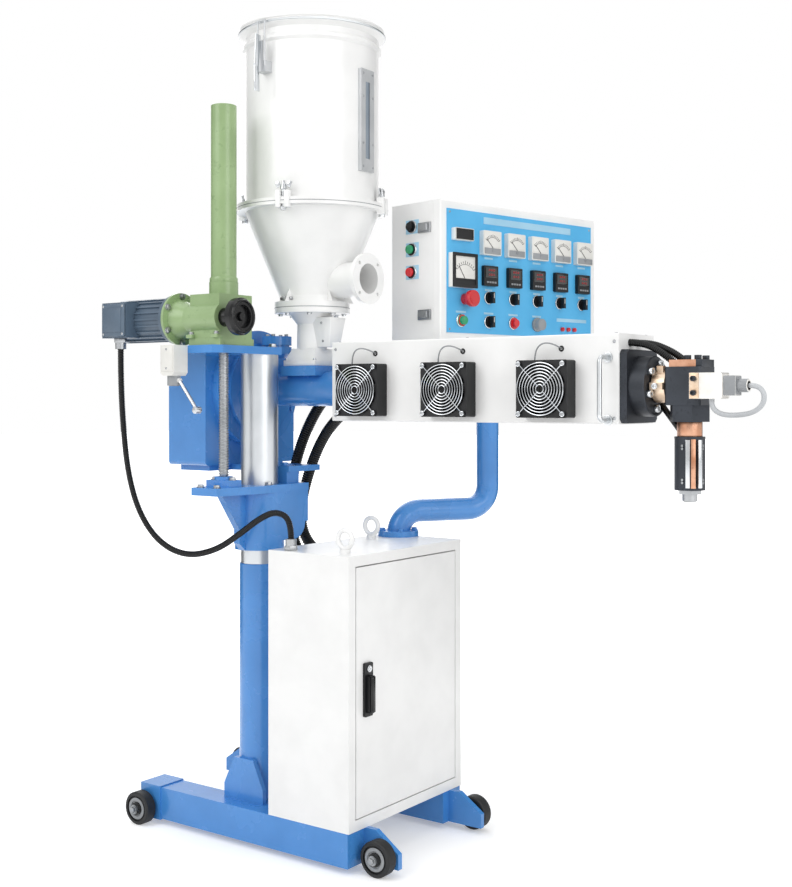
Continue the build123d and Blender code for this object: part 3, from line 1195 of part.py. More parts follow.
with BuildPart() as panel_meters:
    with BuildSketch(instrument_face):
        with Locations(*((column, rows["meters"]) for column in zone_columns)):
            RectangleRounded(*METER_SIZE, BUTTON_RADIUS / 5)
        with Locations((left_column, rows["meters"] + KNOB_RADIUS)):
            RectangleRounded(METER_SIZE[0], METER_SIZE[1] / 2, BUTTON_RADIUS / 5)
        with Locations((left_column, rows["controllers"] + KNOB_RADIUS / 2)):
            RectangleRounded(RECORDER_SIZE, RECORDER_SIZE, BUTTON_RADIUS / 5)
    extrude(amount=METER_DEPTH)
keep(panel_meters, "panel_meters")

with BuildPart() as panel_controls:
    with BuildSketch(instrument_face):
        with Locations(*((column, rows["controllers"]) for column in zone_columns)):
            RectangleRounded(CONTROLLER_SIZE, CONTROLLER_SIZE, BUTTON_RADIUS / 5)
    extrude(amount=CONTROLLER_DEPTH)
    knob_places = [(column, rows["selectors"]) for column in zone_columns]
    knob_places += [(zone_columns[0], rows["buttons"]), (zone_columns[2], rows["buttons"])]
    with Locations(instrument_face):
        with Locations(*knob_places):
            Cylinder(KNOB_RADIUS, KNOB_RADIUS / 3, align=FROM_BASE)
            Box(KNOB_RADIUS * 0.6, KNOB_RADIUS * 2, KNOB_RADIUS * 1.4, align=FROM_BASE)
keep(panel_controls, "panel_controls")

with BuildPart() as panel_buttons:
    button_places = [(left_column, rows["buttons"]), (zone_columns[1], rows["buttons"])]
    with Locations(instrument_face):
        with Locations(*button_places):
            Cylinder(BUTTON_RADIUS, BUTTON_RADIUS / 2, align=FROM_BASE)
            Cylinder(BUTTON_RADIUS * 0.7, BUTTON_RADIUS, align=FROM_BASE)
        with Locations((left_column + KNOB_RADIUS, rows["selectors"] - KNOB_RADIUS / 2)):
            Cylinder(STOP_RADIUS * 0.7, STOP_RADIUS, align=FROM_BASE)
            with Locations((0, 0, STOP_RADIUS)):
                Cylinder(STOP_RADIUS, STOP_RADIUS * 0.6, align=FROM_BASE)
keep(panel_buttons, "panel_buttons")

with BuildPart() as side_buttons:
    with Locations(box_side):
        button_step = BUTTON_RADIUS * 4
        with Locations(*((0, button_step * step) for step in (0, 1, 2))):
            Cylinder(BUTTON_RADIUS, BUTTON_RADIUS / 2, align=FROM_BASE)
            Cylinder(BUTTON_RADIUS * 0.7, BUTTON_RADIUS, align=FROM_BASE)
keep(side_buttons, "side_buttons")

# Cords: each route is a list of points, and every corner is rounded as far as its runs allow


def cord(name, points, radius):
    """Sweep a round cord along straight runs joined by tangent arcs."""
    corners = [Vector(*point) for point in points]
    radii = []
    for before, corner, after in zip(corners, corners[1:], corners[2:]):
        turn = radians((corner - before).get_angle(after - corner))
        shorter = min((corner - before).length, (after - corner).length)
        radii.append(CORD_ROUND * shorter / tan(turn / 2))
    with BuildLine() as route:
        FilletPolyline(*corners, radius=radii)
    with BuildSketch(Plane(origin=corners[0], z_dir=corners[1] - corners[0])) as section:
        Circle(radius)
    with BuildPart() as tube:
        sweep(section.sketch, path=route.wires()[0])
    print(name, "radii", [round(bend) for bend in radii], "length", round(route.wires()[0].length))
    tube.part.label = name
    cords[name] = tube.part


gland_tip = motor_gland_z - GLAND_LENGTH
cabinet_tip = CABINET_TOP + GLAND_LENGTH
cord(
    "motor_conduit",
    [
        (gland_x, gland_y, gland_tip),
        (gland_x, gland_y, gland_tip - CORD_LEAD),
        *MOTOR_CORD_BENDS,
        (*cabinet_gland, cabinet_tip + CORD_LANDING),
        (*cabinet_gland, cabinet_tip),
    ],
    CONDUIT_RADIUS,
)
for number, bends in enumerate(HOSE_BENDS):
    hose_z = BARREL_Z + HOSE_START_LEVELS[number]
    hose_route = [
        (COVER_LEFT - HOSE_GLAND, HOSE_Y, hose_z),
        (COVER_LEFT - HOSE_GLAND - HOSE_LEADS[number], HOSE_Y, hose_z),
        *bends,
        (CABINET_LEFT - HOSE_GLAND - HOSE_LANDINGS[number], HOSE_END_Y, HOSE_END_LEVELS[number]),
        (CABINET_LEFT - HOSE_GLAND, HOSE_END_Y, HOSE_END_LEVELS[number]),
    ]
    cord(f"barrel_hose_{number + 1}", hose_route, HOSE_RADIUS)

# Two short conduits from the cover's end, over the end plate, to the neck's heater and the die
exit_z = BARREL_Z + DIE_CORD_RISE
near_y = terminal_y - DIE_CONDUIT_RADIUS
cord(
    "die_conduit_1",
    [
        (COVER_RIGHT, near_y, exit_z),
        (COVER_RIGHT + 34, near_y, exit_z),
        (band_middle - 14, near_y + 3, exit_z - 5),
        (band_middle, terminal_y, exit_z - 22),
        (band_middle, terminal_y, terminal_top),
    ],
    DIE_CONDUIT_RADIUS,
)
far_y = terminal_y + DIE_CONDUIT_RADIUS * 4.5
far_x = die_left + DIE_HALF * 0.7
cord(
    "die_conduit_2",
    [
        (COVER_RIGHT, far_y, exit_z),
        (COVER_RIGHT + 34, far_y, exit_z),
        (COVER_RIGHT + 68, far_y, exit_z + 7),
        (far_x - 16, far_y, exit_z + 5),
        (far_x, far_y, exit_z - 14),
        (far_x, far_y, die_top + DIE_PLATE),
    ],
    DIE_CONDUIT_RADIUS,
)
loop_y = plug_y - DIE_PLATE / 2
loop_x = die_right + TERMINAL_LENGTH / 2
cord(
    "plug_cable",
    [
        (plug_end, plug_y, BARREL_Z),
        (plug_end + 16, plug_y, BARREL_Z),
        (plug_end + 31, plug_y - 2, BARREL_Z - 14),
        (plug_end + 30, plug_y - 4, BARREL_Z - 36),
        (plug_end + 10, plug_y - 6, BARREL_Z - 53),
        (plug_end - 24, loop_y, BARREL_Z - 58),
        (loop_x + 18, loop_y, BARREL_Z - 56),
        (loop_x, loop_y, BARREL_Z - 42),
        (loop_x, loop_y, terminal_levels[0]),
    ],
    PLUG_CABLE_RADIUS,
)

# Write every piece in the frame whose origin is under the middle of the object
around = Compound(children=[piece.moved(Location()) for piece in pieces.values()]).bounding_box()
shift = Location((-around.center().X, -around.center().Y, -around.min.Z))
print("column axis at", tuple(shift.position))
os.makedirs("parts", exist_ok=True)
for name, piece in (pieces | cords).items():
    placed = piece.moved(shift)
    placed.label = name
    export_step(placed, f"parts/{name}.step")
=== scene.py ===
"""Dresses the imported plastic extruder: finishes, fasteners, fan guards, dials and conduits, in metres."""

from __future__ import annotations

import json
import logging
import math
from dataclasses import dataclass
from enum import Enum
from typing import Callable, Iterable, Sequence

import bpy
from mathutils import Matrix, Vector

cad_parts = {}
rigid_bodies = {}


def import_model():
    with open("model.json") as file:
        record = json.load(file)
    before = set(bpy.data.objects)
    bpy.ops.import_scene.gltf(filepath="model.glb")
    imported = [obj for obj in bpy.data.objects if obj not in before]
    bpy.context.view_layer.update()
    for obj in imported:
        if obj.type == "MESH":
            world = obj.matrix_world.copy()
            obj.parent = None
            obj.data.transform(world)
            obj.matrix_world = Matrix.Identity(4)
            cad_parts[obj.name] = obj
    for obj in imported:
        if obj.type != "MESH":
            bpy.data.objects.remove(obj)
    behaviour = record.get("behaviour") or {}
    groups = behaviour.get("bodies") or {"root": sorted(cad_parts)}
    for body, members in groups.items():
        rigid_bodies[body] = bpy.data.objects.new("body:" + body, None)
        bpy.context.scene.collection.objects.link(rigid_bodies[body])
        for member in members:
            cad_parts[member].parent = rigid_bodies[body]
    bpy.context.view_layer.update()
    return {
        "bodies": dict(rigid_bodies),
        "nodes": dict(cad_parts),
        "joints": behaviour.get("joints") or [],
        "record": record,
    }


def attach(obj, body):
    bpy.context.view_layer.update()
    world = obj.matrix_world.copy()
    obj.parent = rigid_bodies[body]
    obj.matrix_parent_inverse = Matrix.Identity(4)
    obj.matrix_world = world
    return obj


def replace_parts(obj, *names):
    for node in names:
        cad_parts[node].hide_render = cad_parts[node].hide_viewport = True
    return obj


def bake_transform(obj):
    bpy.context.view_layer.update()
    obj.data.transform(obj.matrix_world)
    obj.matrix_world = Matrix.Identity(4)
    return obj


log = logging.getLogger("extruder")

MM = 0.001
# The mast's axis in the row frame: the source measures every place from it.
MAST = Vector((-0.398, -0.303628, 0.0))
X_WAY, Y_WAY, Z_WAY = Vector((1, 0, 0)), Vector((0, 1, 0)), Vector((0, 0, 1))
# The bodies that carry pieces of more than one kind.
STAND = "stand"
CARRIAGE = "carriage"
CONTROL_LEAF = "control_leaf"
CABINET_LEAF = "cabinet_leaf"
# Degrees: sharper edges than the first are rounded, and wires and cords look smooth under the second.
SHARP_EDGE = 40.0
ROUND_SMOOTH = 60.0
# A face looks up when its normal's Z is over the first, and two are level within the second, in metres.
FACING_UP = 0.99
SAME_LEVEL = 1e-6
# Sides round the wire of a ring, and rounds in a quarter of a drawn wire.
RING_SIDES = 8
WIRE_ROUNDS = 3
# Cords: samples for each corner, points for each ridge, the fewest ridges and the shortest run, in metres.
CORD_STEPS = 24
RIDGE_POINTS = 3
FEWEST_RIDGES = 4
TINY = 1e-9
# A direction that no cord follows, from which a tube's first ring is laid out.
SLANT = (0.3, 0.8, 0.5)
# Millimetres: the plain cable's radius, over which a cord is a stiff conduit.
CABLE_RADIUS = 5.0
# Dials: how much longer each fifth tick is, and how far the needle stands over the card in millimetres.
LONG_TICK = 1.6
NEEDLE_LIFT = 0.4


def at(x: float, y: float, z: float) -> Vector:
    """Return a row-frame point in metres from millimetres off the mast's axis."""
    return MAST + Vector((x, y, z)) * MM


def level(turn: float) -> Vector:
    """Return the level direction at a turn in degrees from the X axis."""
    return Vector((math.cos(math.radians(turn)), math.sin(math.radians(turn)), 0))


def shifted(x: float = 0.0, y: float = 0.0, z: float = 0.0) -> Matrix:
    """Return a move by millimetres."""
    return Matrix.Translation((x * MM, y * MM, z * MM))


def turned(angle: float, axis: str = "Z") -> Matrix:
    """Return a turn by degrees about an axis through the origin."""
    return Matrix.Rotation(math.radians(angle), 4, axis)


def corners_of(half_width: float, half_height: float) -> list[tuple[float, float]]:
    """Return the four corners of a rectangle from its half sizes."""
    return [(x, y) for x in (-half_width, half_width) for y in (-half_height, half_height)]


def linear(code: str) -> tuple[float, float, float, float]:
    """Turn an sRGB hex colour into linear values.

    Args:
        code: Six hex digits after a hash sign.

    Returns:
        Red, green, blue and an alpha of one.
    """
    shares = [int(code[i : i + 2], 16) / 255 for i in (1, 3, 5)]
    bent = [s / 12.92 if s <= 0.04045 else ((s + 0.055) / 1.055) ** 2.4 for s in shares]
    return (*bent, 1.0)


def standing(point: Vector, way: Vector, turn: float = 0.0) -> Matrix:
    """Return a matrix that puts a local Z axis on a way.

    Args:
        point: Where the local origin goes, in metres.
        way: The direction of local Z.
        turn: A turn about local Z in degrees.

    Returns:
        The placing matrix.
    """
    up = Vector(way).normalized()
    upright = abs(up.z) >= 0.9
    side = X_WAY if upright else Z_WAY
    across = side.cross(up).normalized()
    ahead = up.cross(across)
    frame = Matrix((across, ahead, up)).transposed().to_4x4()
    return Matrix.Translation(point) @ frame @ turned(turn)


# Finishes


def node(
    tree: bpy.types.NodeTree, kind: str, settings: dict | None = None, **links: bpy.types.NodeSocket
) -> bpy.types.Node:
    """Add a shader node with its settings and its links.

    Args:
        tree: The material's node tree.
        kind: The node's Blender type.
        settings: Attributes, or input values under their socket names.
        links: Output sockets to join to inputs, with underscores for spaces.

    Returns:
        The new node.
    """
    made = tree.nodes.new(kind)
    for key, value in (settings or {}).items():
        if hasattr(made, key):
            setattr(made, key, value)
        else:
            made.inputs[key].default_value = value
    for key, source in links.items():
        tree.links.new(source, made.inputs[key.replace("_", " ")])
    return made


class Grain(Enum):
    """How a surface was made, which sets the shape of its fine pattern."""

    SPRAYED = "sprayed"
    MOULDED = "moulded"
    TURNED = "turned"
    BRUSHED = "brushed"
    CAST = "cast"


# How a making squeezes the fine relief along X, Y and Z.
GRAIN_SQUEEZE = {Grain.TURNED: (1, 1, 14), Grain.BRUSHED: (0.06, 1, 1)}
COAT_ROUGHNESS = 0.08
# Where the noise turns from the shade to the colour, and from clean to stained.
PATCH_EDGES = (0.32, 0.62)
STAIN_EDGES = (0.56, 0.72)
# The least and the greatest share of the roughness, which drifts with the patches.
ROUGHNESS_DRIFT = (0.8, 1.25)
RELIEF_STRENGTH = 0.6


@dataclass(frozen=True)
class Finish:
    """One procedural material.

    The base drifts between two near shades over `patch_mm`, and `grain_mm` sets the fine relief.
    """

    name: str
    colour: str
    shade: str
    roughness: float
    grain: Grain
    grain_mm: float
    relief_mm: float
    metallic: float = 0.0
    patch_mm: float = 90.0
    coat: float = 0.0
    specular: float = 0.5
    stain: str | None = None

    def build(self) -> bpy.types.Material:
        """Return this finish's material, made on its first use."""
        found = bpy.data.materials.get(self.name)
        if found:
            return found
        made = bpy.data.materials.new(self.name)
        made.use_nodes = True
        tree = made.node_tree
        shader = tree.nodes["Principled BSDF"]
        shader.inputs["Metallic"].default_value = self.metallic
        shader.inputs["Coat Weight"].default_value = self.coat
        shader.inputs["Coat Roughness"].default_value = COAT_ROUGHNESS
        shader.inputs["Specular IOR Level"].default_value = self.specular
        place = node(tree, "ShaderNodeTexCoord").outputs["Object"]
        wide = {"Scale": 1 / (self.patch_mm * MM), "Detail": 4.0}
        patch = node(tree, "ShaderNodeTexNoise", wide, Vector=place)
        tree.links.new(self.tone(tree, place, patch.outputs["Fac"]), shader.inputs["Base Color"])
        least, most = (self.roughness * share for share in ROUGHNESS_DRIFT)
        drift = {"To Min": least, "To Max": most}
        spread = node(tree, "ShaderNodeMapRange", drift, Value=patch.outputs["Fac"])
        tree.links.new(spread.outputs["Result"], shader.inputs["Roughness"])
        squeeze = GRAIN_SQUEEZE.get(self.grain, (1, 1, 1))
        mapped = node(tree, "ShaderNodeMapping", {"Scale": squeeze}, Vector=place)
        small = {"Scale": 1 / (self.grain_mm * MM), "Detail": 2.0}
        fine = node(tree, "ShaderNodeTexNoise", small, Vector=mapped.outputs["Vector"])
        relief = {"Distance": self.relief_mm * MM, "Strength": RELIEF_STRENGTH}
        bump = node(tree, "ShaderNodeBump", relief, Height=fine.outputs["Fac"])
        tree.links.new(bump.outputs["Normal"], shader.inputs["Normal"])
        return made

    def tone(
        self, tree: bpy.types.NodeTree, place: bpy.types.NodeSocket, noise: bpy.types.NodeSocket
    ) -> bpy.types.NodeSocket:
        """Add the nodes that mix the base colour.

        Args:
            tree: The material's node tree.
            place: The object coordinates.
            noise: The noise that parts the colour from its shade.

        Returns:
            The mixed colour, with stains over it where the finish has them.
        """
        ramp = node(tree, "ShaderNodeValToRGB", Fac=noise)
        low, high = ramp.color_ramp.elements
        low.position, high.position = PATCH_EDGES
        low.color = linear(self.shade)
        high.color = linear(self.colour)
        if not self.stain:
            return ramp.outputs["Color"]
        finer = {"Scale": 1 / (self.patch_mm * MM / 4), "Detail": 6.0, "Roughness": 0.7}
        spots = node(tree, "ShaderNodeTexNoise", finer, Vector=place)
        clean, stained = STAIN_EDGES
        edges = {"From Min": clean, "From Max": stained}
        mask = node(tree, "ShaderNodeMapRange", edges, Value=spots.outputs["Fac"])
        blend = node(tree, "ShaderNodeMix", {"data_type": "RGBA"}, Factor=mask.outputs["Result"])
        under, over = (socket for socket in blend.inputs if socket.type == "RGBA")
        tree.links.new(ramp.outputs["Color"], under)
        over.default_value = linear(self.stain)
        return next(socket for socket in blend.outputs if socket.type == "RGBA")


# Gloss enamel sprayed on steel: an even colour with a faint orange peel, drawn about 4 mm wide to show.
BLUE = Finish("blue_enamel", "#4A90D8", "#4288CF", 0.26, Grain.SPRAYED, 4.0, 0.05, coat=0.2)
WHITE = Finish("white_enamel", "#F6F6F5", "#F0F0EF", 0.32, Grain.SPRAYED, 4.0, 0.04, coat=0.25)
GREEN = Finish("pale_green_enamel", "#98B280", "#8BA573", 0.32, Grain.CAST, 6.0, 0.14, coat=0.2,
               stain="#7C9766")
MOTOR = Finish("blue_grey_motor_paint", "#586A7C", "#4B5C6D", 0.36, Grain.CAST, 5.0, 0.12)
SKY = Finish("sky_blue_panel_film", "#58B7EA", "#4FB0E4", 0.42, Grain.MOULDED, 2.0, 0.02)
PALE_BLUE = Finish("pale_blue_plate", "#A9D5EC", "#9CCBE4", 0.40, Grain.MOULDED, 2.0, 0.02)
# Hard chrome on a ground bar: near mirror, with a trace of the grinding round it.
CHROME = Finish("hard_chrome", "#D5D8DB", "#C2C6CA", 0.13, Grain.TURNED, 9.0, 0.015, metallic=1.0)
GROUND = Finish("ground_steel_bar", "#C6C9CC", "#B9BDC0", 0.34, Grain.TURNED, 9.0, 0.015, metallic=1.0)
BRIGHT = Finish("nickel_plated_steel", "#C9CBCD", "#B4B7BA", 0.22, Grain.TURNED, 5.0, 0.02, metallic=1.0)
STEEL = Finish("bright_turned_steel", "#A9ABAD", "#8E9194", 0.34, Grain.TURNED, 4.0, 0.03, metallic=1.0)
BRUSHED = Finish("brushed_stainless", "#C4C7C9", "#AEB2B5", 0.30, Grain.BRUSHED, 1.6, 0.02, metallic=1.0)
# Steel blackened by heat and oil: slate grey and dull, with darker stains. Copper tans and stains beside it.
BLACK_IRON = Finish("blackened_steel", "#3A3E45", "#2A2D32", 0.44, Grain.CAST, 3.0, 0.10, metallic=0.6,
                    stain="#23252A")
COPPER = Finish("heat_tanned_copper", "#C79A80", "#A67459", 0.36, Grain.BRUSHED, 2.0, 0.03, metallic=1.0,
                patch_mm=30, stain="#8A5D49")
CREAM_BAND = Finish("cream_copper_band", "#E2CDB6", "#C9A98B", 0.34, Grain.BRUSHED, 2.0, 0.03, metallic=0.8,
                    patch_mm=24)
SILVER = Finish("silvered_terminal_plate", "#EDEBE7", "#DEDBD5", 0.38, Grain.CAST, 2.5, 0.04, metallic=0.55,
                patch_mm=30)
# Moulded plastic and rubber: even and dull, or glossy where it is handled, with a grain drawn coarse to show.
RUBBER = Finish("black_rubber", "#1E1F21", "#151617", 0.62, Grain.MOULDED, 2.0, 0.05)
BLACK = Finish("black_moulded_plastic", "#151618", "#0F1012", 0.40, Grain.MOULDED, 1.5, 0.04, specular=0.35)
GLOSS_BLACK = Finish("gloss_black_phenolic", "#101113", "#0A0B0C", 0.22, Grain.MOULDED, 3.0, 0.02,
                     specular=0.35)
GREY = Finish("grey_moulded_plastic", "#9A9DA0", "#8A8D90", 0.40, Grain.MOULDED, 1.6, 0.03)
IVORY = Finish("white_moulded_plastic", "#ECEBE6", "#E2E1DC", 0.36, Grain.MOULDED, 2.0, 0.02)
RED = Finish("red_moulded_plastic", "#D8232B", "#C21A22", 0.28, Grain.MOULDED, 2.0, 0.02, coat=0.3)
LAMP_GREEN = Finish("green_moulded_plastic", "#1FA06A", "#178C5B", 0.28, Grain.MOULDED, 2.0, 0.02, coat=0.3)
HOSE = Finish("black_nylon_conduit", "#121314", "#0B0C0D", 0.26, Grain.MOULDED, 2.5, 0.02, specular=0.3)
PALE_CABLE = Finish("pale_grey_cable", "#C3C6C9", "#B4B7BA", 0.44, Grain.MOULDED, 2.0, 0.02)
# Satin sheet, and panes that are glossy and darker than what is round them.
SATIN = Finish("satin_stainless", "#C8CACC", "#B9BCBE", 0.40, Grain.BRUSHED, 1.6, 0.02, metallic=0.55)
SIGHT = Finish("sight_glass", "#86929E", "#76828E", 0.12, Grain.MOULDED, 6.0, 0.005, coat=0.5)
WINDOW = Finish("dark_display_glass", "#101716", "#0A0F0F", 0.08, Grain.MOULDED, 6.0, 0.005, coat=0.6)

NODE_FINISHES: dict[Finish, tuple[str, ...]] = {
    BLUE: ("base_beams", "cross_beam", "wheel_brackets", "lower_column", "top_plate", "lift_collar",
           "gearbox_mount", "gearbox", "feed_pipe", "support_pipe"),
    WHITE: ("cabinet_shell", "cabinet_door", "control_box", "control_door", "barrel_cover", "hopper_cone",
            "hopper_body", "hopper_lid", "feed_throat", "eye_bolts"),
    GREEN: ("screw_jack", "screw_tube"),
    MOTOR: ("jack_motor",),
    GROUND: ("mast",),
    STEEL: ("wheel_axles", "cable_glands", "nozzle_tip"),
    SATIN: ("hopper_fittings",),
    BRUSHED: ("pull_handle",),
    RUBBER: ("wheel_front_left", "wheel_front_right", "wheel_rear_left", "wheel_rear_right"),
    BLACK: ("door_handle", "panel_controls", "side_buttons", "fan_frames", "fan_rotor_1", "fan_rotor_2",
            "fan_rotor_3"),
    GLOSS_BLACK: ("handwheel",),
    IVORY: ("limit_switch", "panel_meters"),
    RED: ("panel_buttons",),
    SKY: ("control_panel",),
    BLACK_IRON: ("barrel", "die_block", "nozzle_heater"),
    CREAM_BAND: ("neck_heater",),
    COPPER: ("die_top_plate",),
    SILVER: ("die_terminal",),
}


# Modelling by operators


class Solid(Enum):
    """The primitive that a piece starts from."""

    CYLINDER = "cylinder"
    CUBE = "cube"
    CONE = "cone"
    TORUS = "torus"


def start(kind: Solid, sides: int = 32, **sizes: float) -> bpy.types.Object:
    """Add a primitive at the origin with everything else deselected.

    Args:
        kind: Which primitive.
        sides: How many sides a round one has.
        sizes: Millimetres: radius, top, depth, x, y, z or wire.

    Returns:
        The new active object, resting on local Z = 0 unless it is a torus.
    """
    bpy.ops.object.select_all(action="DESELECT")
    mm = {key: value * MM for key, value in sizes.items()}
    if kind is Solid.CYLINDER:
        bpy.ops.mesh.primitive_cylinder_add(vertices=sides, radius=mm["radius"], depth=mm["depth"],
                                            location=(0, 0, mm["depth"] / 2))
    elif kind is Solid.CONE:
        bpy.ops.mesh.primitive_cone_add(vertices=sides, radius1=mm["radius"], radius2=mm["top"],
                                        depth=mm["depth"], location=(0, 0, mm["depth"] / 2))
    elif kind is Solid.CUBE:
        bpy.ops.mesh.primitive_cube_add(size=1, location=(0, 0, mm["z"] / 2))
        bpy.context.object.scale = (mm["x"], mm["y"], mm["z"])
    else:
        bpy.ops.mesh.primitive_torus_add(major_radius=mm["radius"], minor_radius=mm["wire"],
                                         major_segments=sides, minor_segments=RING_SIDES)
    bpy.ops.object.transform_apply(location=True, rotation=True, scale=True)
    return bpy.context.object


def choose_only(piece: bpy.types.Object) -> None:
    """Select one piece alone and make it active."""
    bpy.ops.object.select_all(action="DESELECT")
    piece.select_set(True)
    bpy.context.view_layer.objects.active = piece


def choose_faces(piece: bpy.types.Object, test: Callable[[bpy.types.MeshPolygon], bool]) -> None:
    """Enter edit mode with the faces that pass a test selected."""
    bpy.context.view_layer.objects.active = piece
    bpy.ops.object.mode_set(mode="EDIT")
    bpy.ops.mesh.select_mode(type="FACE")
    bpy.ops.mesh.select_all(action="DESELECT")
    bpy.ops.object.mode_set(mode="OBJECT")
    for face in piece.data.polygons:
        face.select = test(face)
    bpy.ops.object.mode_set(mode="EDIT")


def step_top(piece: bpy.types.Object, inset: float, rise: float) -> bpy.types.Object:
    """Inset the highest flat face and raise or sink it.

    Args:
        piece: The piece, in its local frame.
        inset: Millimetres in from the edge.
        rise: Millimetres up, or down where it is negative.

    Returns:
        The same piece.
    """
    highest = max((f.center.z for f in piece.data.polygons if f.normal.z > FACING_UP), default=0.0)
    choose_faces(piece, lambda face: face.normal.z > FACING_UP and abs(face.center.z - highest) < SAME_LEVEL)
    bpy.ops.mesh.inset(thickness=inset * MM, depth=0)
    bpy.ops.mesh.extrude_region_move(TRANSFORM_OT_translate={"value": (0, 0, rise * MM)})
    bpy.ops.object.mode_set(mode="OBJECT")
    return piece


def bevelled(piece: bpy.types.Object, width: float, rounds: int = 2) -> bpy.types.Object:
    """Round every sharp edge by a width in millimetres and apply it."""
    bpy.context.view_layer.objects.active = piece
    edge = piece.modifiers.new("edge", "BEVEL")
    edge.width = width * MM
    edge.segments = rounds
    edge.limit_method = "ANGLE"
    edge.angle_limit = math.radians(SHARP_EDGE)
    bpy.ops.object.modifier_apply(modifier=edge.name)
    return piece


def block(x: float, y: float, z: float, edge: float = 0.6) -> bpy.types.Object:
    """Return a box on local Z = 0 with rounded edges, from millimetres."""
    return bevelled(start(Solid.CUBE, x=x, y=y, z=z), edge)


def drum(radius: float, depth: float, edge: float, sides: int = 32) -> bpy.types.Object:
    """Return a cylinder on local Z = 0 with rounded rims, from millimetres."""
    return bevelled(start(Solid.CYLINDER, sides, radius=radius, depth=depth), edge)


def placed(piece: bpy.types.Object, where: Matrix) -> bpy.types.Object:
    """Move a piece's mesh by a matrix and leave its object at the origin."""
    piece.data.transform(where)
    return piece


def copy_of(source: bpy.types.Object) -> bpy.types.Object:
    """Return a copy of a model with its own mesh."""
    copy = source.copy()
    copy.data = source.data.copy()
    bpy.context.scene.collection.objects.link(copy)
    return copy


def repeated(source: bpy.types.Object, places: Iterable[Matrix]) -> bpy.types.Object:
    """Copy a finished model to many places, each with its own mesh, and join them.

    Args:
        source: The model in its local frame, which is used up.
        places: Where each copy goes.

    Returns:
        One object at the origin.
    """
    copies = [placed(copy_of(source), where) for where in places]
    bpy.data.objects.remove(source)
    return joined(copies)


def joined(parts: Sequence[bpy.types.Object]) -> bpy.types.Object:
    """Join parts into the first one."""
    bpy.ops.object.select_all(action="DESELECT")
    for part in parts:
        part.select_set(True)
    bpy.context.view_layer.objects.active = parts[0]
    if len(parts) > 1:
        bpy.ops.object.join()
    return bpy.context.view_layer.objects.active


def dressed(
    piece: bpy.types.Object, name: str, finish: Finish, body: str, smooth: float = 35.0
) -> bpy.types.Object:
    """Name a finished piece, give it its finish and let it ride on a body.

    Args:
        piece: The piece, with its place in its mesh.
        name: Its name in the table.
        finish: Its material.
        body: The body that carries it.
        smooth: The angle in degrees under which its edges look smooth.

    Returns:
        The same piece.
    """
    choose_only(piece)
    bpy.ops.object.shade_smooth_by_angle(angle=math.radians(smooth))
    piece.name = piece.data.name = name
    piece.data.materials.clear()
    piece.data.materials.append(finish.build())
    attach(piece, body)
    log.info("%s: %d faces on %s", name, len(piece.data.polygons), body)
    return piece


def hex_bolt(size: float) -> bpy.types.Object:
    """Model a hexagon bolt head of a thread size in millimetres, with its washer."""
    washer = drum(size * 1.15, size * 0.22, size * 0.05, 24)
    head = start(Solid.CYLINDER, 6, radius=size * 0.95, depth=size * 0.85)
    step_top(head, size * 0.14, size * 0.05)
    return joined([washer, bevelled(head, size * 0.05)])


def socket_bolt(size: float) -> bpy.types.Object:
    """Model a socket cap screw head of a thread size in millimetres, with a sunk key hole."""
    head = start(Solid.CYLINDER, 24, radius=size * 0.8, depth=size)
    step_top(head, size * 0.4, -size * 0.5)
    return bevelled(head, size * 0.06)


def pan_screw(size: float) -> bpy.types.Object:
    """Model a domed screw head of a thread size in millimetres, with a sunk slot."""
    head = start(Solid.CONE, 20, radius=size, top=size * 0.62, depth=size * 0.5)
    slot = start(Solid.CUBE, x=size * 1.1, y=size * 0.22, z=size * 0.08)
    return joined([bevelled(head, size * 0.12), placed(slot, shifted(z=size * 0.46))])


def ring_of(centre: Vector, way: Vector, circle: float, count: int, first: float = 0.0) -> list[Matrix]:
    """Return places on a bolt circle.

    Args:
        centre: The circle's centre, in metres.
        way: The direction the heads point.
        circle: The circle's radius in millimetres.
        count: How many places.
        first: The first place's angle in degrees.

    Returns:
        One matrix for each place.
    """
    frame = standing(centre, way)
    return [frame @ turned(first + 360 * i / count) @ shifted(x=circle) for i in range(count)]


def wire(points: Sequence[Vector], radius: float) -> bpy.types.Object:
    """Model a round wire through points by a bevelled curve that is made a mesh.

    Args:
        points: Row-frame or local points in metres.
        radius: Millimetres.

    Returns:
        The wire as a mesh.
    """
    curve = bpy.data.curves.new("wire", "CURVE")
    curve.dimensions = "3D"
    curve.bevel_depth = radius * MM
    curve.bevel_resolution = WIRE_ROUNDS
    curve.use_fill_caps = True
    spline = curve.splines.new("POLY")
    spline.points.add(len(points) - 1)
    for spot, point in zip(spline.points, points):
        spot.co = (*point, 1)
    made = bpy.data.objects.new("wire", curve)
    bpy.context.scene.collection.objects.link(made)
    choose_only(made)
    bpy.ops.object.convert(target="MESH")
    return bpy.context.view_layer.objects.active


def eased(points: Sequence[Vector], steps: int = 8) -> list[Vector]:
    """Sample the smooth curve that keeps a route's ends and touches the middle of each inner run.

    Args:
        points: The route's corners.
        steps: Samples for each corner.

    Returns:
        Points along the curve.
    """
    knots = [points[0], *((a + b) / 2 for a, b in zip(points[1:-1], points[2:-1])), points[-1]]
    path = [points[0].copy()]
    for begin, corner, end in zip(knots, points[1:-1], knots[1:]):
        for i in range(1, steps + 1):
            t = i / steps
            path.append(begin * (1 - t) ** 2 + corner * 2 * t * (1 - t) + end * t * t)
    return path


# Studio and camera


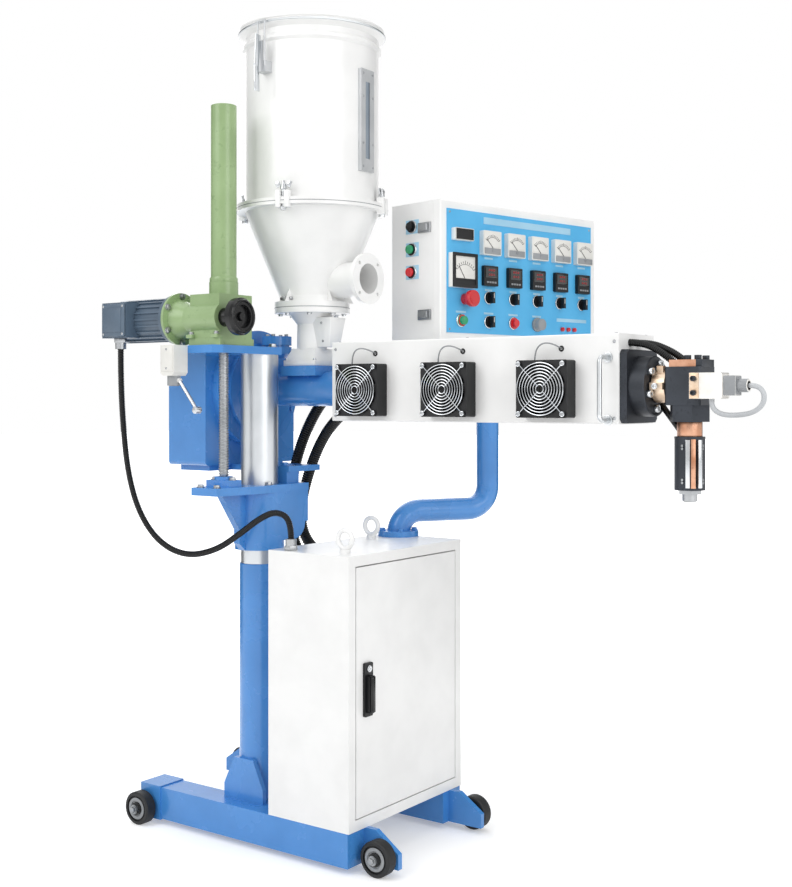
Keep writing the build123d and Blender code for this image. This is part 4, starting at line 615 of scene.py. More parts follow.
@dataclass
class Studio:
    """White studio with soft lamps and the photograph's camera, in metres and degrees."""

    eye: tuple[float, float, float] = (1.6862, -2.6101, 1.047)
    heading: float = 36.0
    lens: float = 58.05
    sensor: float = 36.0
    rise: float = -0.0549
    world_light: float = 0.66
    floor_size: float = 60.0
    floor_drop: float = 0.0005
    floor_colour: str = "#F4F4F4"
    floor_roughness: float = 0.9
    floor_fade: tuple[float, float] = (0.6, 1.5)
    floor_glow: float = 0.3
    # Each card's name, its turn round the mast and its width.
    cards: tuple[tuple[str, float, float], ...] = (
        ("card_back_right", 70.0, 1.7),
        ("card_back_left", 182.0, 1.7),
    )
    card_reach: float = 2.3
    card_height: float = 2.8
    card_colour: str = "#2C2E31"
    lamp_aim: tuple[float, float, float] = (0.0, -0.1, 0.9)
    # Each lamp's name, its place, its side and its power in watts.
    lamps: tuple[tuple[str, tuple[float, float, float], float, float], ...] = (
        ("key", (-1.3, -3.6, 3.4), 2.6, 58.0),
        ("fill", (3.4, -1.2, 2.2), 2.2, 38.0),
        ("rim", (-2.6, 2.2, 2.8), 2.2, 30.0),
        ("top", (0.0, 0.0, 4.2), 3.0, 30.0),
    )

    def build(self) -> None:
        """Make the camera, the world, the lamps, the floor and the dark cards."""
        scene = bpy.context.scene
        data = bpy.data.cameras.new("photo_camera")
        data.sensor_fit = "HORIZONTAL"
        data.sensor_width = self.sensor
        data.lens = self.lens
        data.shift_y = self.rise
        camera = bpy.data.objects.new("photo_camera", data)
        camera.location = self.eye
        camera.rotation_euler = (math.radians(90), 0, math.radians(self.heading))
        scene.collection.objects.link(camera)
        scene.camera = camera
        scene.view_settings.view_transform = "Standard"
        self.light_world(scene)
        for name, spot, size, power in self.lamps:
            lamp = bpy.data.lights.new(name, "AREA")
            lamp.energy = power
            lamp.size = size
            holder = bpy.data.objects.new(name, lamp)
            holder.location = spot
            aim = Vector(self.lamp_aim) - Vector(spot)
            holder.rotation_euler = aim.to_track_quat("-Z", "Y").to_euler()
            scene.collection.objects.link(holder)
        self.lay_floor()
        self.hang_cards()

    def showing_rays(self, tree: bpy.types.NodeTree) -> bpy.types.NodeSocket:
        """Return a mask of the rays that show the white backdrop: the camera's, off metal and through glass.

        Args:
            tree: The node tree of the world or the floor.

        Returns:
            A socket that is one for those rays.
        """
        path = node(tree, "ShaderNodeLightPath")
        mask = path.outputs["Is Camera Ray"]
        for kind in ("Is Glossy Ray", "Is Transmission Ray"):
            either = node(tree, "ShaderNodeMath", {"operation": "MAXIMUM"})
            tree.links.new(mask, either.inputs[0])
            tree.links.new(path.outputs[kind], either.inputs[1])
            mask = either.outputs[0]
        return mask

    def light_world(self, scene: bpy.types.Scene) -> None:
        """Give the world a white backdrop for the rays that show it and a softer light for the rest."""
        world = bpy.data.worlds.new("studio_world")
        scene.world = world
        world.use_nodes = True
        tree = world.node_tree
        tree.nodes.clear()
        soft = node(tree, "ShaderNodeBackground", {"Color": (1, 1, 1, 1), "Strength": self.world_light})
        white = node(tree, "ShaderNodeBackground", {"Color": (1, 1, 1, 1), "Strength": 1.0})
        mix = node(tree, "ShaderNodeMixShader")
        tree.links.new(self.showing_rays(tree), mix.inputs[0])
        tree.links.new(soft.outputs[0], mix.inputs[1])
        tree.links.new(white.outputs[0], mix.inputs[2])
        out = node(tree, "ShaderNodeOutputWorld")
        tree.links.new(mix.outputs[0], out.inputs["Surface"])

    def lay_floor(self) -> None:
        """Lay a matt white floor under the wheels, which keeps the shadow and fades to white further out."""
        bpy.ops.object.select_all(action="DESELECT")
        bpy.ops.mesh.primitive_plane_add(size=self.floor_size, location=(0, 0, -self.floor_drop))
        floor = bpy.context.object
        floor.name = "studio_floor"
        paint = bpy.data.materials.new("studio_floor")
        paint.use_nodes = True
        tree = paint.node_tree
        shader = tree.nodes["Principled BSDF"]
        shader.inputs["Base Color"].default_value = linear(self.floor_colour)
        shader.inputs["Roughness"].default_value = self.floor_roughness
        place = node(tree, "ShaderNodeTexCoord").outputs["Object"]
        reach = node(tree, "ShaderNodeVectorMath", {"operation": "LENGTH"})
        tree.links.new(place, reach.inputs[0])
        near, far = self.floor_fade
        fade = {"interpolation_type": "SMOOTHSTEP", "From Min": near, "From Max": far,
                "To Min": self.floor_glow, "To Max": 1.0}
        glow = node(tree, "ShaderNodeMapRange", fade, Value=reach.outputs["Value"])
        seen = node(tree, "ShaderNodeMath", {"operation": "MULTIPLY"})
        tree.links.new(glow.outputs["Result"], seen.inputs[0])
        tree.links.new(self.showing_rays(tree), seen.inputs[1])
        white = node(tree, "ShaderNodeEmission", Strength=seen.outputs["Value"])
        both = node(tree, "ShaderNodeAddShader")
        tree.links.new(shader.outputs["BSDF"], both.inputs[0])
        tree.links.new(white.outputs["Emission"], both.inputs[1])
        tree.links.new(both.outputs["Shader"], tree.nodes["Material Output"].inputs["Surface"])
        floor.data.materials.append(paint)

    def hang_cards(self) -> None:
        """Hang dark cards out of the camera's sight, which give round and bright pieces their dark edges."""
        card_paint = bpy.data.materials.new("studio_card")
        card_paint.use_nodes = True
        shader = card_paint.node_tree.nodes["Principled BSDF"]
        shader.inputs["Base Color"].default_value = linear(self.card_colour)
        for name, turn, width in self.cards:
            middle = MAST + level(turn) * self.card_reach + Z_WAY * self.card_height / 2
            bpy.ops.object.select_all(action="DESELECT")
            bpy.ops.mesh.primitive_plane_add(size=1, location=middle,
                                             rotation=(math.radians(90), 0, math.radians(turn + 90)))
            card = bpy.context.object
            card.name = name
            card.scale = (width, self.card_height, 1)
            card.visible_camera = False
            card.visible_shadow = False
            card.data.materials.append(card_paint)


# Sub-assemblies


@dataclass
class Cord:
    """A corrugated conduit or a plain cable, a mesh tube along its route.

    Route points are millimetres off the mast's axis, and `ridge` is the pitch of its ridges.
    """

    name: str
    radius: float
    length: float
    route: tuple[tuple[float, float, float], ...]
    finish: Finish
    ridge: float = 4.0
    groove: float = 1.0
    sides: int = 14
    body: str = CARRIAGE
    bends: bool = False

    def build(self) -> None:
        path = self.spaced(eased([at(*point) for point in self.route], CORD_STEPS))
        tube = self.tube(path)
        choose_only(tube)
        bpy.ops.object.shade_smooth_by_angle(angle=math.radians(ROUND_SMOOTH))
        tube.data.materials.append(self.finish.build())
        if self.bends:
            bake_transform(tube)
        else:
            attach(tube, self.body)
        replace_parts(tube, self.name)
        log.info("%s: a cord of %.3f m", self.name, self.length)

    def spaced(self, path: list[Vector]) -> list[Vector]:
        """Return points at a third of a ridge along a path, its ends included.

        Args:
            path: Points along the route, in metres.

        Returns:
            Evenly spaced points on it.
        """
        marks = [0.0]
        for before, after in zip(path, path[1:]):
            marks.append(marks[-1] + (after - before).length)
        count = RIDGE_POINTS * max(FEWEST_RIDGES, round(marks[-1] / (self.ridge * MM)))
        spots, i = [], 0
        for k in range(count + 1):
            want = marks[-1] * k / count
            while i < len(marks) - 2 and marks[i + 1] < want:
                i += 1
            share = (want - marks[i]) / max(marks[i + 1] - marks[i], TINY)
            spots.append(path[i].lerp(path[i + 1], min(max(share, 0), 1)))
        return spots

    def tube(self, path: list[Vector]) -> bpy.types.Object:
        """Return a closed tube whose radius dips once in every ridge.

        Args:
            path: The tube's middle line, in metres.

        Returns:
            The tube, with its place in its mesh.
        """
        verts, faces, count = [], [], self.sides
        across = Vector(SLANT)
        last = len(path) - 1
        for k, point in enumerate(path):
            way = (path[min(k + 1, last)] - path[max(k - 1, 0)]).normalized()
            across = (across - way * across.dot(way)).normalized()
            ahead = way.cross(across)
            dips = k % RIDGE_POINTS == 0 and 0 < k < last
            radius = (self.radius - (self.groove if dips else 0)) * MM
            for s in range(count):
                turn = 2 * math.pi * s / count
                verts.append(point + (across * math.cos(turn) + ahead * math.sin(turn)) * radius)
        for k in range(last):
            for s in range(count):
                a, b = k * count + s, k * count + (s + 1) % count
                faces.append((a, b, b + count, a + count))
        faces += [tuple(range(count))[::-1], tuple(range(len(verts) - count, len(verts)))]
        mesh = bpy.data.meshes.new(self.name + "_tube")
        mesh.from_pydata(verts, [], faces)
        tube = bpy.data.objects.new(self.name + "_tube", mesh)
        bpy.context.scene.collection.objects.link(tube)
        return tube


@dataclass
class Base:
    """Wheel hubs and axle bolts of the wheeled base."""

    wheels: tuple[tuple[str, float, float, int], ...] = (
        ("wheel_front_left", -284, -102, -1),
        ("wheel_front_right", 403, -39, -1),
        ("wheel_rear_right", 403, 314, 1),
        ("wheel_rear_left", -355, 314, 1),
    )
    axle_height: float = 40.0
    axle_thread: float = 8.0
    hub_out: float = 30.0
    hub_radius: float = 25.0
    hub_depth: float = 3.0
    head_out: float = 42.3
    head_turn: float = 15.0

    def build(self) -> None:
        """Add a bearing ring to each wheel and a bolt head to each axle."""
        heads = []
        for name, x, y, side in self.wheels:
            ring = drum(self.hub_radius, self.hub_depth, 0.8, 40)
            step_top(step_top(ring, 3, -1.2), 5, 1.0)
            place = standing(at(x, y + side * self.hub_out, self.axle_height), Y_WAY * side)
            dressed(placed(ring, place), name + "_bearing", GREY, name)
            head = at(x, y + side * self.head_out, self.axle_height)
            heads.append(standing(head, Y_WAY * side, self.head_turn))
        dressed(repeated(hex_bolt(self.axle_thread), heads), "axle_bolts", STEEL, STAND)


@dataclass
class Lift:
    """Threaded screw, jack, motor and limit switch details."""

    screw_y: float = -124.0
    screw_levels: tuple[float, float] = (868.0, 1400.0)
    screw_radius: float = 12.0
    thread_pitch: float = 6.0
    thread_depth: float = 2.0
    thread_runout: float = 8.0
    thread_sides: int = 16
    core_lap: float = 0.02
    worm: tuple[float, float] = (-164.0, 1237.0)
    bell_face: float = -97.0
    bell_circle: float = 54.0
    wheel_face: float = 89.7
    grip_out: float = 9.0
    grip_radius: float = 36.0
    lugs: tuple[tuple[float, float, float], ...] = ((-46.0, -183.0, 1190.0), (34.0, -183.0, 1190.0))
    lug_height: float = 9.0
    collar_z: float = 1322.0
    box_lid: tuple[float, float, float] = (-250.5, -237.0, 1237.0)
    lid_side: float = 78.0
    lid_depth: float = 5.0
    lid_screw: float = 33.0
    motor_end: float = -300.0
    motor_circle: float = 34.0
    switch_head: tuple[float, float, float] = (-72.0, -214.0, 1103.5)
    lever_root: tuple[float, float, float] = (-57.0, -214.0, 1096.0)
    lever_tip: tuple[float, float, float] = (2.3, -214.0, 1024.0)
    roller_width: float = 16.0
    switch_cover: tuple[float, float, float] = (-72.0, -236.0, 1142.0)
    cover_depth: float = 3.0
    cover_screw: float = 22.0
    # Half the spacing of a pair of collar bolts, then their place across and up.
    collar_pairs: tuple[tuple[float, float, float], ...] = (
        (28.0, -124.0, 860.0),
        (46.0, -18.0, 844.0),
        (26.0, -174.0, 844.0),
    )
    plate_bolts: tuple[tuple[float, float, float], ...] = ((-52.0, 20.0, 1174.0), (24.0, 20.0, 1174.0))

    def build(self) -> None:
        """Build every piece of the lift."""
        self.thread()
        self.jack()
        self.motor()
        self.switch()
        self.bolts()

    def thread(self) -> None:
        """Turn a tooth outline into the lead screw with a screw modifier."""
        low, high = self.screw_levels
        core, crest = self.screw_radius - self.thread_depth, self.screw_radius
        sixth = self.thread_pitch / 6
        tooth = ((core, 0), (core, 1), (crest, 2), (crest, 4), (core, 5), (core, 6))
        outline = [(radius * MM, 0, step * sixth * MM) for radius, step in tooth]
        mesh = bpy.data.meshes.new("thread")
        mesh.from_pydata(outline, [(i, i + 1) for i in range(len(outline) - 1)], [])
        thread = bpy.data.objects.new("thread", mesh)
        bpy.context.scene.collection.objects.link(thread)
        bpy.context.view_layer.objects.active = thread
        turns = thread.modifiers.new("turns", "SCREW")
        turns.steps = turns.render_steps = self.thread_sides
        turns.screw_offset = self.thread_pitch * MM
        turns.iterations = int((high - low - self.thread_runout) / self.thread_pitch)
        turns.use_merge_vertices = True
        bpy.ops.object.modifier_apply(modifier=turns.name)
        choose_faces(thread, lambda face: True)
        bpy.ops.mesh.normals_make_consistent(inside=False)
        bpy.ops.object.mode_set(mode="OBJECT")
        rod = drum(core + self.core_lap, high - low, 1.0)
        screw = placed(joined([rod, thread]), Matrix.Translation(at(0, self.screw_y, low)))
        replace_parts(dressed(screw, "threaded_screw", STEEL, CARRIAGE), "lead_screw")

    def jack(self) -> None:
        """Add the bell's bolts, the handwheel's cap and grip, the foot's lugs and bolts, and a collar."""
        y, z = self.worm
        bell = ring_of(at(self.bell_face, y, z), X_WAY, self.bell_circle, 6, 30)
        dressed(repeated(hex_bolt(7), bell), "bell_bolts", STEEL, STAND)
        cap = step_top(step_top(start(Solid.CYLINDER, 32, radius=9, depth=4), 2, 2), 3, -1.2)
        place = standing(at(self.wheel_face, y, z), X_WAY)
        dressed(placed(bevelled(cap, 0.8), place), "handwheel_cap", CHROME, "handwheel")
        ring = start(Solid.TORUS, 48, radius=self.grip_radius, wire=3.2)
        place = standing(at(self.wheel_face + self.grip_out, y, z), X_WAY)
        dressed(placed(ring, place), "handwheel_grip", GLOSS_BLACK, "handwheel")
        lugs = [at(*spot) for spot in self.lugs]
        lug = block(20, 20, self.lug_height, 2)
        dressed(repeated(lug, [Matrix.Translation(spot) for spot in lugs]), "jack_lugs", GREEN, STAND)
        heads = [Matrix.Translation(spot + Z_WAY * self.lug_height * MM) for spot in lugs]
        dressed(repeated(hex_bolt(7), heads), "jack_foot_bolts", STEEL, STAND)
        band = bevelled(step_top(start(Solid.CYLINDER, 48, radius=33, depth=10), 1.5, 2), 0.8)
        place = Matrix.Translation(at(0, self.screw_y, self.collar_z))
        dressed(placed(band, place), "tube_collar", GREEN, STAND)

    def motor(self) -> None:
        """Add the terminal box's lid and screws and the motor's end screws."""
        x, y, z = self.box_lid
        lid = bevelled(step_top(block(self.lid_side, self.lid_side, self.lid_depth, 2.5), 8, 2.0), 0.8)
        dressed(placed(lid, standing(at(x, y, z), -Y_WAY)), "terminal_lid", MOTOR, STAND)
        corners = [standing(at(x + dx, y - self.lid_depth, z + dz), -Y_WAY)
                   for dx, dz in corners_of(self.lid_screw, self.lid_screw)]
        dressed(repeated(pan_screw(3.5), corners), "terminal_screws", STEEL, STAND)
        ends = ring_of(at(self.motor_end, *self.worm), -X_WAY, self.motor_circle, 4, 45)
        dressed(repeated(socket_bolt(5), ends), "motor_end_screws", STEEL, STAND)

    def switch(self) -> None:
        """Add the limit switch's grey head, steel lever, roller and bare cover plate."""
        head = bevelled(step_top(start(Solid.CYLINDER, 32, radius=15.4, depth=23), 3, 1), 1)
        dressed(placed(head, standing(at(*self.switch_head), -Z_WAY)), "switch_head", GREY, STAND)
        arm = wire([at(*self.lever_root), at(*self.lever_tip)], 4.4)
        roller = bevelled(step_top(start(Solid.CYLINDER, 32, radius=8.2, depth=self.roller_width), 3, 1), 1)
        x, y, z = self.lever_tip
        placed(roller, standing(at(x, y + self.roller_width / 2, z), -Y_WAY))
        dressed(joined([arm, roller]), "switch_lever", BRIGHT, STAND)
        cover = bevelled(step_top(start(Solid.CUBE, x=38, y=58, z=self.cover_depth - 1), 3, 1), 0.7)
        x, y, z = self.switch_cover
        dressed(placed(cover, standing(at(x, y, z), -Y_WAY)), "switch_cover", IVORY, STAND)
        screws = [standing(at(x, y - self.cover_depth, z + side * self.cover_screw), -Y_WAY)
                  for side in (-1, 1)]
        dressed(repeated(pan_screw(3), screws), "switch_screws", STEEL, STAND)

    def bolts(self) -> None:
        """Bolt the collar, the screw's flange and the top plate."""
        heads = [standing(at(side * half, y, z), Z_WAY)
                 for half, y, z in self.collar_pairs for side in (-1, 1)]
        dressed(repeated(hex_bolt(8), heads), "collar_bolts", STEEL, CARRIAGE)
        plate = [standing(at(*spot), Z_WAY) for spot in self.plate_bolts]
        dressed(repeated(hex_bolt(10), plate), "top_plate_bolts", STEEL, STAND)


@dataclass
class FeedHead:
    """Gearbox, bell housing, throat and hopper fasteners and fittings."""

    axis: tuple[float, float] = (115.0, 1075.0)
    gearbox_face: float = -105.0
    gearbox_circle: float = 132.0
    mount_bolts: tuple[tuple[float, float, float], ...] = ((-20.0, 70.0, 886.0), (20.0, 70.0, 886.0))
    hopper_x: float = 70.0
    foot_z: float = 1130.0
    foot_side: float = 100.0
    foot_depth: float = 14.0
    foot_bolt: float = 44.0
    neck_z: float = 1141.0
    neck_radius: float = 37.0
    flare_z: float = 1232.5
    plate_z: float = 1258.0
    plate_radius: float = 92.0
    plate_depth: float = 14.0
    plate_circle: float = 78.0
    hood_out: float = 52.0
    hood_z: float = 1176.0
    hood_front: float = 22.0
    hood_lean: float = 0.14
    hood_screws: tuple[float, float] = (1190.0, 1234.0)
    port_cap: tuple[float, float] = (-45.0, 1206.0)
    port_circle: float = 25.0
    rib_turns: tuple[float, ...] = (-90.0, -22.0, 45.0, 155.0)
    rib_out: float = 72.0
    rib_z: float = 1285.0
    rib_flat: float = 0.12
    toggle_turn: float = -105.0
    toggle_out: float = 80.0
    toggle_z: float = 1286.0
    flange_radius: float = 186.0
    flange_z: float = 1512.0
    clamp_turns: tuple[float, ...] = (-72.0, 18.0, 108.0, 198.0)
    clamp_z: float = 1490.0
    clamp_in: float = 6.0
    sight_face: float = 238.2
    sight_z: float = 1712.5
    sight_screw_face: float = 242.0
    sight_screw_y: float = 18.0
    sight_screw_levels: tuple[float, ...] = (1602.0, 1657.0, 1768.0, 1823.0)
    rim_radius: float = 178.0
    rim_z: float = 1936.0
    catch_place: tuple[float, float] = (70.0, -81.5)
    # How far the catch's lever stands out at each height.
    catch_bends: tuple[tuple[float, float], ...] = ((5.0, 1768.0), (7.0, 1826.0), (1.0, 1900.0))

    def build(self) -> None:
        """Build every piece of the feed head."""
        y, z = self.axis
        heads = ring_of(at(self.gearbox_face, y, z), X_WAY, self.gearbox_circle, 8, 22.5)
        heads += [standing(at(*spot), Z_WAY) for spot in self.mount_bolts]
        dressed(repeated(hex_bolt(9), heads), "gearbox_bolts", BLUE, CARRIAGE)
        self.throat()
        self.throat_screws()
        self.foot_details()
        self.clamps()
        self.catch()
        self.sight()

    def stacked(
        self, piece: bpy.types.Object, z: float, dx: float = 0.0, turn: float = 0.0
    ) -> bpy.types.Object:
        """Set a piece on the hopper's axis, or beside it, at a height.

        Args:
            piece: The piece, in its local frame.
            z: The height of its local origin in millimetres.
            dx: How far it stands beside the axis in millimetres.
            turn: A turn about local Z in degrees.

        Returns:
            The same piece.
        """
        return placed(piece, Matrix.Translation(at(self.hopper_x + dx, self.axis[0], z)) @ turned(turn))

    def throat(self) -> None:
        """Model the throat: a square foot, a tapered root, a straight neck, a flare, a plate and a hood."""
        root = bevelled(start(Solid.CONE, 4, radius=68, top=49, depth=30), 1.5)
        hood = bevelled(start(Solid.CONE, 4, radius=28, top=42, depth=71), 1.5)
        body = joined([
            self.stacked(block(self.foot_side, self.foot_side, self.foot_depth, 1.5), self.foot_z),
            self.stacked(root, self.foot_z + self.foot_depth - 0.5, turn=45),
            self.stacked(start(Solid.CYLINDER, 64, radius=self.neck_radius, depth=118), self.neck_z),
            self.stacked(start(Solid.CONE, 64, radius=self.neck_radius, top=58, depth=26), self.flare_z),
            self.stacked(drum(self.plate_radius, self.plate_depth, 1.2, 96), self.plate_z),
            self.stacked(hood, self.hood_z, self.hood_out, 45),
        ])
        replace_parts(dressed(body, "throat_body", WHITE, CARRIAGE), "feed_throat")

    def throat_screws(self) -> None:
        """Screw the hood, and bolt the throat's foot, the cone's foot and the port cap."""
        y = self.axis[0]
        low = self.hood_screws[0]
        hood = []
        for z in self.hood_screws:
            front = y - self.hood_front - (z - low) * self.hood_lean
            hood.append(standing(at(self.hopper_x + self.hood_out, front, z), -Y_WAY, 30))
        dressed(repeated(pan_screw(3.4), hood), "hood_screws", STEEL, CARRIAGE)
        spots = [standing(at(self.hopper_x + dx, y + dy, self.foot_z + self.foot_depth), Z_WAY)
                 for dx, dy in corners_of(self.foot_bolt, self.foot_bolt)]
        dressed(repeated(hex_bolt(4), spots), "throat_bolts", BRIGHT, CARRIAGE)
        ring = ring_of(at(self.hopper_x, y, self.plate_z), -Z_WAY, self.plate_circle, 8, 10)
        dressed(repeated(hex_bolt(6), ring), "cone_flange_bolts", BRIGHT, CARRIAGE)
        x, z = self.port_cap
        cap = ring_of(at(x, y, z), Z_WAY, self.port_circle, 4, 20)
        dressed(repeated(socket_bolt(6), cap), "port_cap_screws", STEEL, CARRIAGE)

    def foot_details(self) -> None:
        """Add the cone's ribs, the gaskets between the flanges and the toggle on the foot's flange."""
        y = self.axis[0]
        axis = Matrix.Translation(at(self.hopper_x, y, self.rib_z))
        flat = Matrix.Diagonal((1, self.rib_flat, 1, 1))
        ribs = []
        for turn in self.rib_turns:
            rib = start(Solid.CONE, 3, radius=30, top=2, depth=52)
            ribs.append(placed(rib, axis @ turned(turn) @ shifted(x=self.rib_out) @ flat @ turned(-90)))
        dressed(joined(ribs), "cone_ribs", WHITE, CARRIAGE)
        seams = ((self.flange_radius - 0.1, self.flange_z),
                 (self.plate_radius, self.plate_z + self.plate_depth))
        gaskets = [self.stacked(start(Solid.TORUS, 96, radius=radius, wire=0.9), z) for radius, z in seams]
        dressed(joined(gaskets), "flange_gaskets", GREY, CARRIAGE)
        arm = placed(block(44, 9, 7, 1.5), shifted(x=6, z=3))
        pin = drum(6.5, 13, 1, 20)
        spot = at(self.hopper_x, y, self.toggle_z) + level(self.toggle_turn) * self.toggle_out * MM
        place = Matrix.Translation(spot) @ turned(self.toggle_turn + 90)
        dressed(placed(joined([arm, pin]), place), "foot_toggle", STEEL, CARRIAGE)

    def clamps(self) -> None:
        """Add the hopper flange's clamps: a bolt with a wing nut between two white brackets."""
        shaft = drum(4, 68, 0.6, 16)
        foot = placed(hex_bolt(8), turned(180, "X") @ shifted(z=-6))
        nut = placed(start(Solid.CONE, 20, radius=8, top=6, depth=11), shifted(z=48))
        wings = [placed(block(4, 12, 15, 1.6), shifted(y=side * 11, z=53) @ turned(side * -24, "X"))
                 for side in (-1, 1)]
        clamp = joined([shaft, foot, nut, *wings])
        middle = at(self.hopper_x, self.axis[0], self.clamp_z)
        spots = []
        for turn in self.clamp_turns:
            out = level(turn) * (self.flange_radius - self.clamp_in) * MM
            spots.append(Matrix.Translation(middle + out) @ turned(turn))
        dressed(repeated(clamp, spots), "flange_clamps", BRIGHT, CARRIAGE)
        sides = [placed(block(18, 12, 40, 2), shifted(2, side * 11, 5)) for side in (-1, 1)]
        dressed(repeated(joined(sides), spots), "clamp_brackets", WHITE, CARRIAGE)

    def catch(self) -> None:
        """Add the long bright lever of the lid's toggle catch, bent once along its length."""
        x, y = self.catch_place
        points = [at(x, y - out, z) for out, z in self.catch_bends]
        plates = []
        for begin, end in zip(points, points[1:]):
            run = end - begin
            plates.append(placed(block(17, 3, run.length / MM + 1, 1), standing(begin, run)))
        dressed(joined(plates), "catch_lever", CHROME, CARRIAGE)

    def sight(self) -> None:
        """Add the sight glass with its screws and the bead on the hopper's rim."""
        y = self.axis[0]
        place = standing(at(self.sight_face, y, self.sight_z), X_WAY) @ turned(90)
        dressed(placed(block(190, 15, 3.5, 1.4), place), "sight_glass", SIGHT, CARRIAGE)
        screws = [standing(at(self.sight_screw_face, y + side * self.sight_screw_y, z), X_WAY, 30)
                  for side in (-1, 1) for z in self.sight_screw_levels]
        dressed(repeated(pan_screw(3.4), screws), "sight_screws", STEEL, CARRIAGE)
        rim = start(Solid.TORUS, 96, radius=self.rim_radius, wire=3)
        dressed(self.stacked(rim, self.rim_z), "hopper_rim_bead", BRUSHED, CARRIAGE)


@dataclass
class BarrelUnit:
    """Fan guards, leads, cover screws and the handle's feet."""

    fan_centres: tuple[float, ...] = (290.0, 530.0, 774.0)
    fan_z: float = 1070.0
    axis: tuple[float, float] = (115.0, 1075.0)
    face_y: float = 45.0
    fan_front: float = 7.0
    hub_sunk: float = 4.0
    guard_gap: float = 6.0
    rings: tuple[float, ...] = (9.0, 15.5, 22.0, 28.5, 35.0, 41.5, 48.0, 54.5)
    wire_radius: float = 1.15
    wire_nest: float = 0.8
    spoke_start: float = 7.0
    spoke_short: float = 4.0
    spoke_turns: tuple[float, ...] = (45.0, 135.0, 225.0, 315.0)
    eye_radius: float = 4.4
    corner: float = 52.0
    # A fan lead's corners: across from the fan's centre, then its place forward and up.
    lead: tuple[tuple[float, float, float], ...] = (
        (-25.0, 25.0, 1130.0),
        (-22.0, 21.0, 1150.0),
        (-2.0, 14.0, 1166.0),
        (22.0, 22.0, 1164.0),
    )
    lead_radius: float = 1.6
    grommet: tuple[float, float] = (27.0, 1154.0)
    front_screws: tuple[tuple[float, float], tuple[float, float]] = ((200.0, 922.0), (1010.0, 1166.0))
    top_screws: tuple[tuple[float, ...], tuple[float, ...]] = ((203.0, 560.0, 920.0), (58.0, 197.0))
    top_z: float = 1183.0
    handle_x: float = 908.0
    handle_levels: tuple[float, float] = (1006.0, 1134.0)
    flange_face: float = 982.0
    flange_circle: float = 46.0

    def build(self) -> None:
        """Build every piece of the barrel unit."""
        front = self.fan_front - self.guard_gap
        places = [standing(at(x, front, self.fan_z), -Y_WAY) for x in self.fan_centres]
        guard = repeated(self.guard(), places)
        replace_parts(dressed(guard, "wire_guards", CHROME, CARRIAGE), "fan_guards")
        heads = [standing(at(x + dx, self.fan_front, self.fan_z + dz), -Y_WAY, 40)
                 for x in self.fan_centres for dx, dz in corners_of(self.corner, self.corner)]
        post = start(Solid.CYLINDER, 16, radius=3.2, depth=self.guard_gap)
        screw = placed(pan_screw(4.6), shifted(z=self.guard_gap))
        dressed(repeated(joined([post, screw]), heads), "fan_screws", STEEL, CARRIAGE)
        hub = step_top(drum(20, 1.2, 0.4), 3, 0.4)
        for number, x in enumerate(self.fan_centres, start=1):
            place = standing(at(x, self.fan_front + self.hub_sunk, self.fan_z), -Y_WAY)
            dressed(placed(copy_of(hub), place), f"fan_hub_label_{number}", GLOSS_BLACK, f"fan_{number}")
        bpy.data.objects.remove(hub)
        self.leads()
        self.screws()

    def guard(self) -> bpy.types.Object:
        """Return one wire guard: rings, four spokes and corner eyes."""
        parts = [start(Solid.TORUS, 48, radius=ring, wire=self.wire_radius) for ring in self.rings]
        eye_out = self.corner * math.sqrt(2)
        behind = Vector((0, 0, -2 * self.wire_radius * MM * self.wire_nest))
        for turn in self.spoke_turns:
            way = level(turn)
            ends = (self.spoke_start, eye_out - self.spoke_short)
            parts.append(wire([way * end * MM + behind for end in ends], self.wire_radius))
            eye = start(Solid.TORUS, 20, radius=self.eye_radius, wire=self.wire_radius)
            parts.append(placed(eye, Matrix.Translation(way * eye_out * MM)))
        return joined(parts)

    def leads(self) -> None:
        """Arch a thin lead from each fan's top to a grommet in the cover."""
        parts, grommets = [], []
        across, up = self.grommet
        for x in self.fan_centres:
            bend = [at(x + dx, y, z) for dx, y, z in self.lead]
            bend.append(at(x + across, self.face_y + 1, up))
            parts.append(wire(eased(bend), self.lead_radius))
            grommets.append(standing(at(x + across, self.face_y, up), -Y_WAY))
        dressed(joined(parts), "fan_leads", GREY, CARRIAGE, ROUND_SMOOTH)
        ring = start(Solid.TORUS, 24, radius=4.5, wire=2)
        dressed(repeated(ring, grommets), "lead_grommets", BLACK, CARRIAGE)

    def screws(self) -> None:
        """Screw the cover down, foot the handle and bolt the die flange."""
        xs, levels = self.front_screws
        spots = [standing(at(x, self.face_y, z), -Y_WAY, 25) for x in xs for z in levels]
        xs, ys = self.top_screws
        spots += [standing(at(x, y, self.top_z), Z_WAY, 25) for x in xs for y in ys]
        dressed(repeated(pan_screw(4), spots), "cover_screws", STEEL, CARRIAGE)
        foot = step_top(drum(11, 3, 0.8, 24), 3.4, 2)
        feet = [standing(at(self.handle_x, self.face_y, z), -Y_WAY) for z in self.handle_levels]
        dressed(repeated(foot, feet), "handle_feet", BRUSHED, CARRIAGE)
        heads = ring_of(at(self.flange_face, *self.axis), X_WAY, self.flange_circle, 6, 20)
        dressed(repeated(socket_bolt(10), heads), "die_flange_bolts", BRIGHT, CARRIAGE)


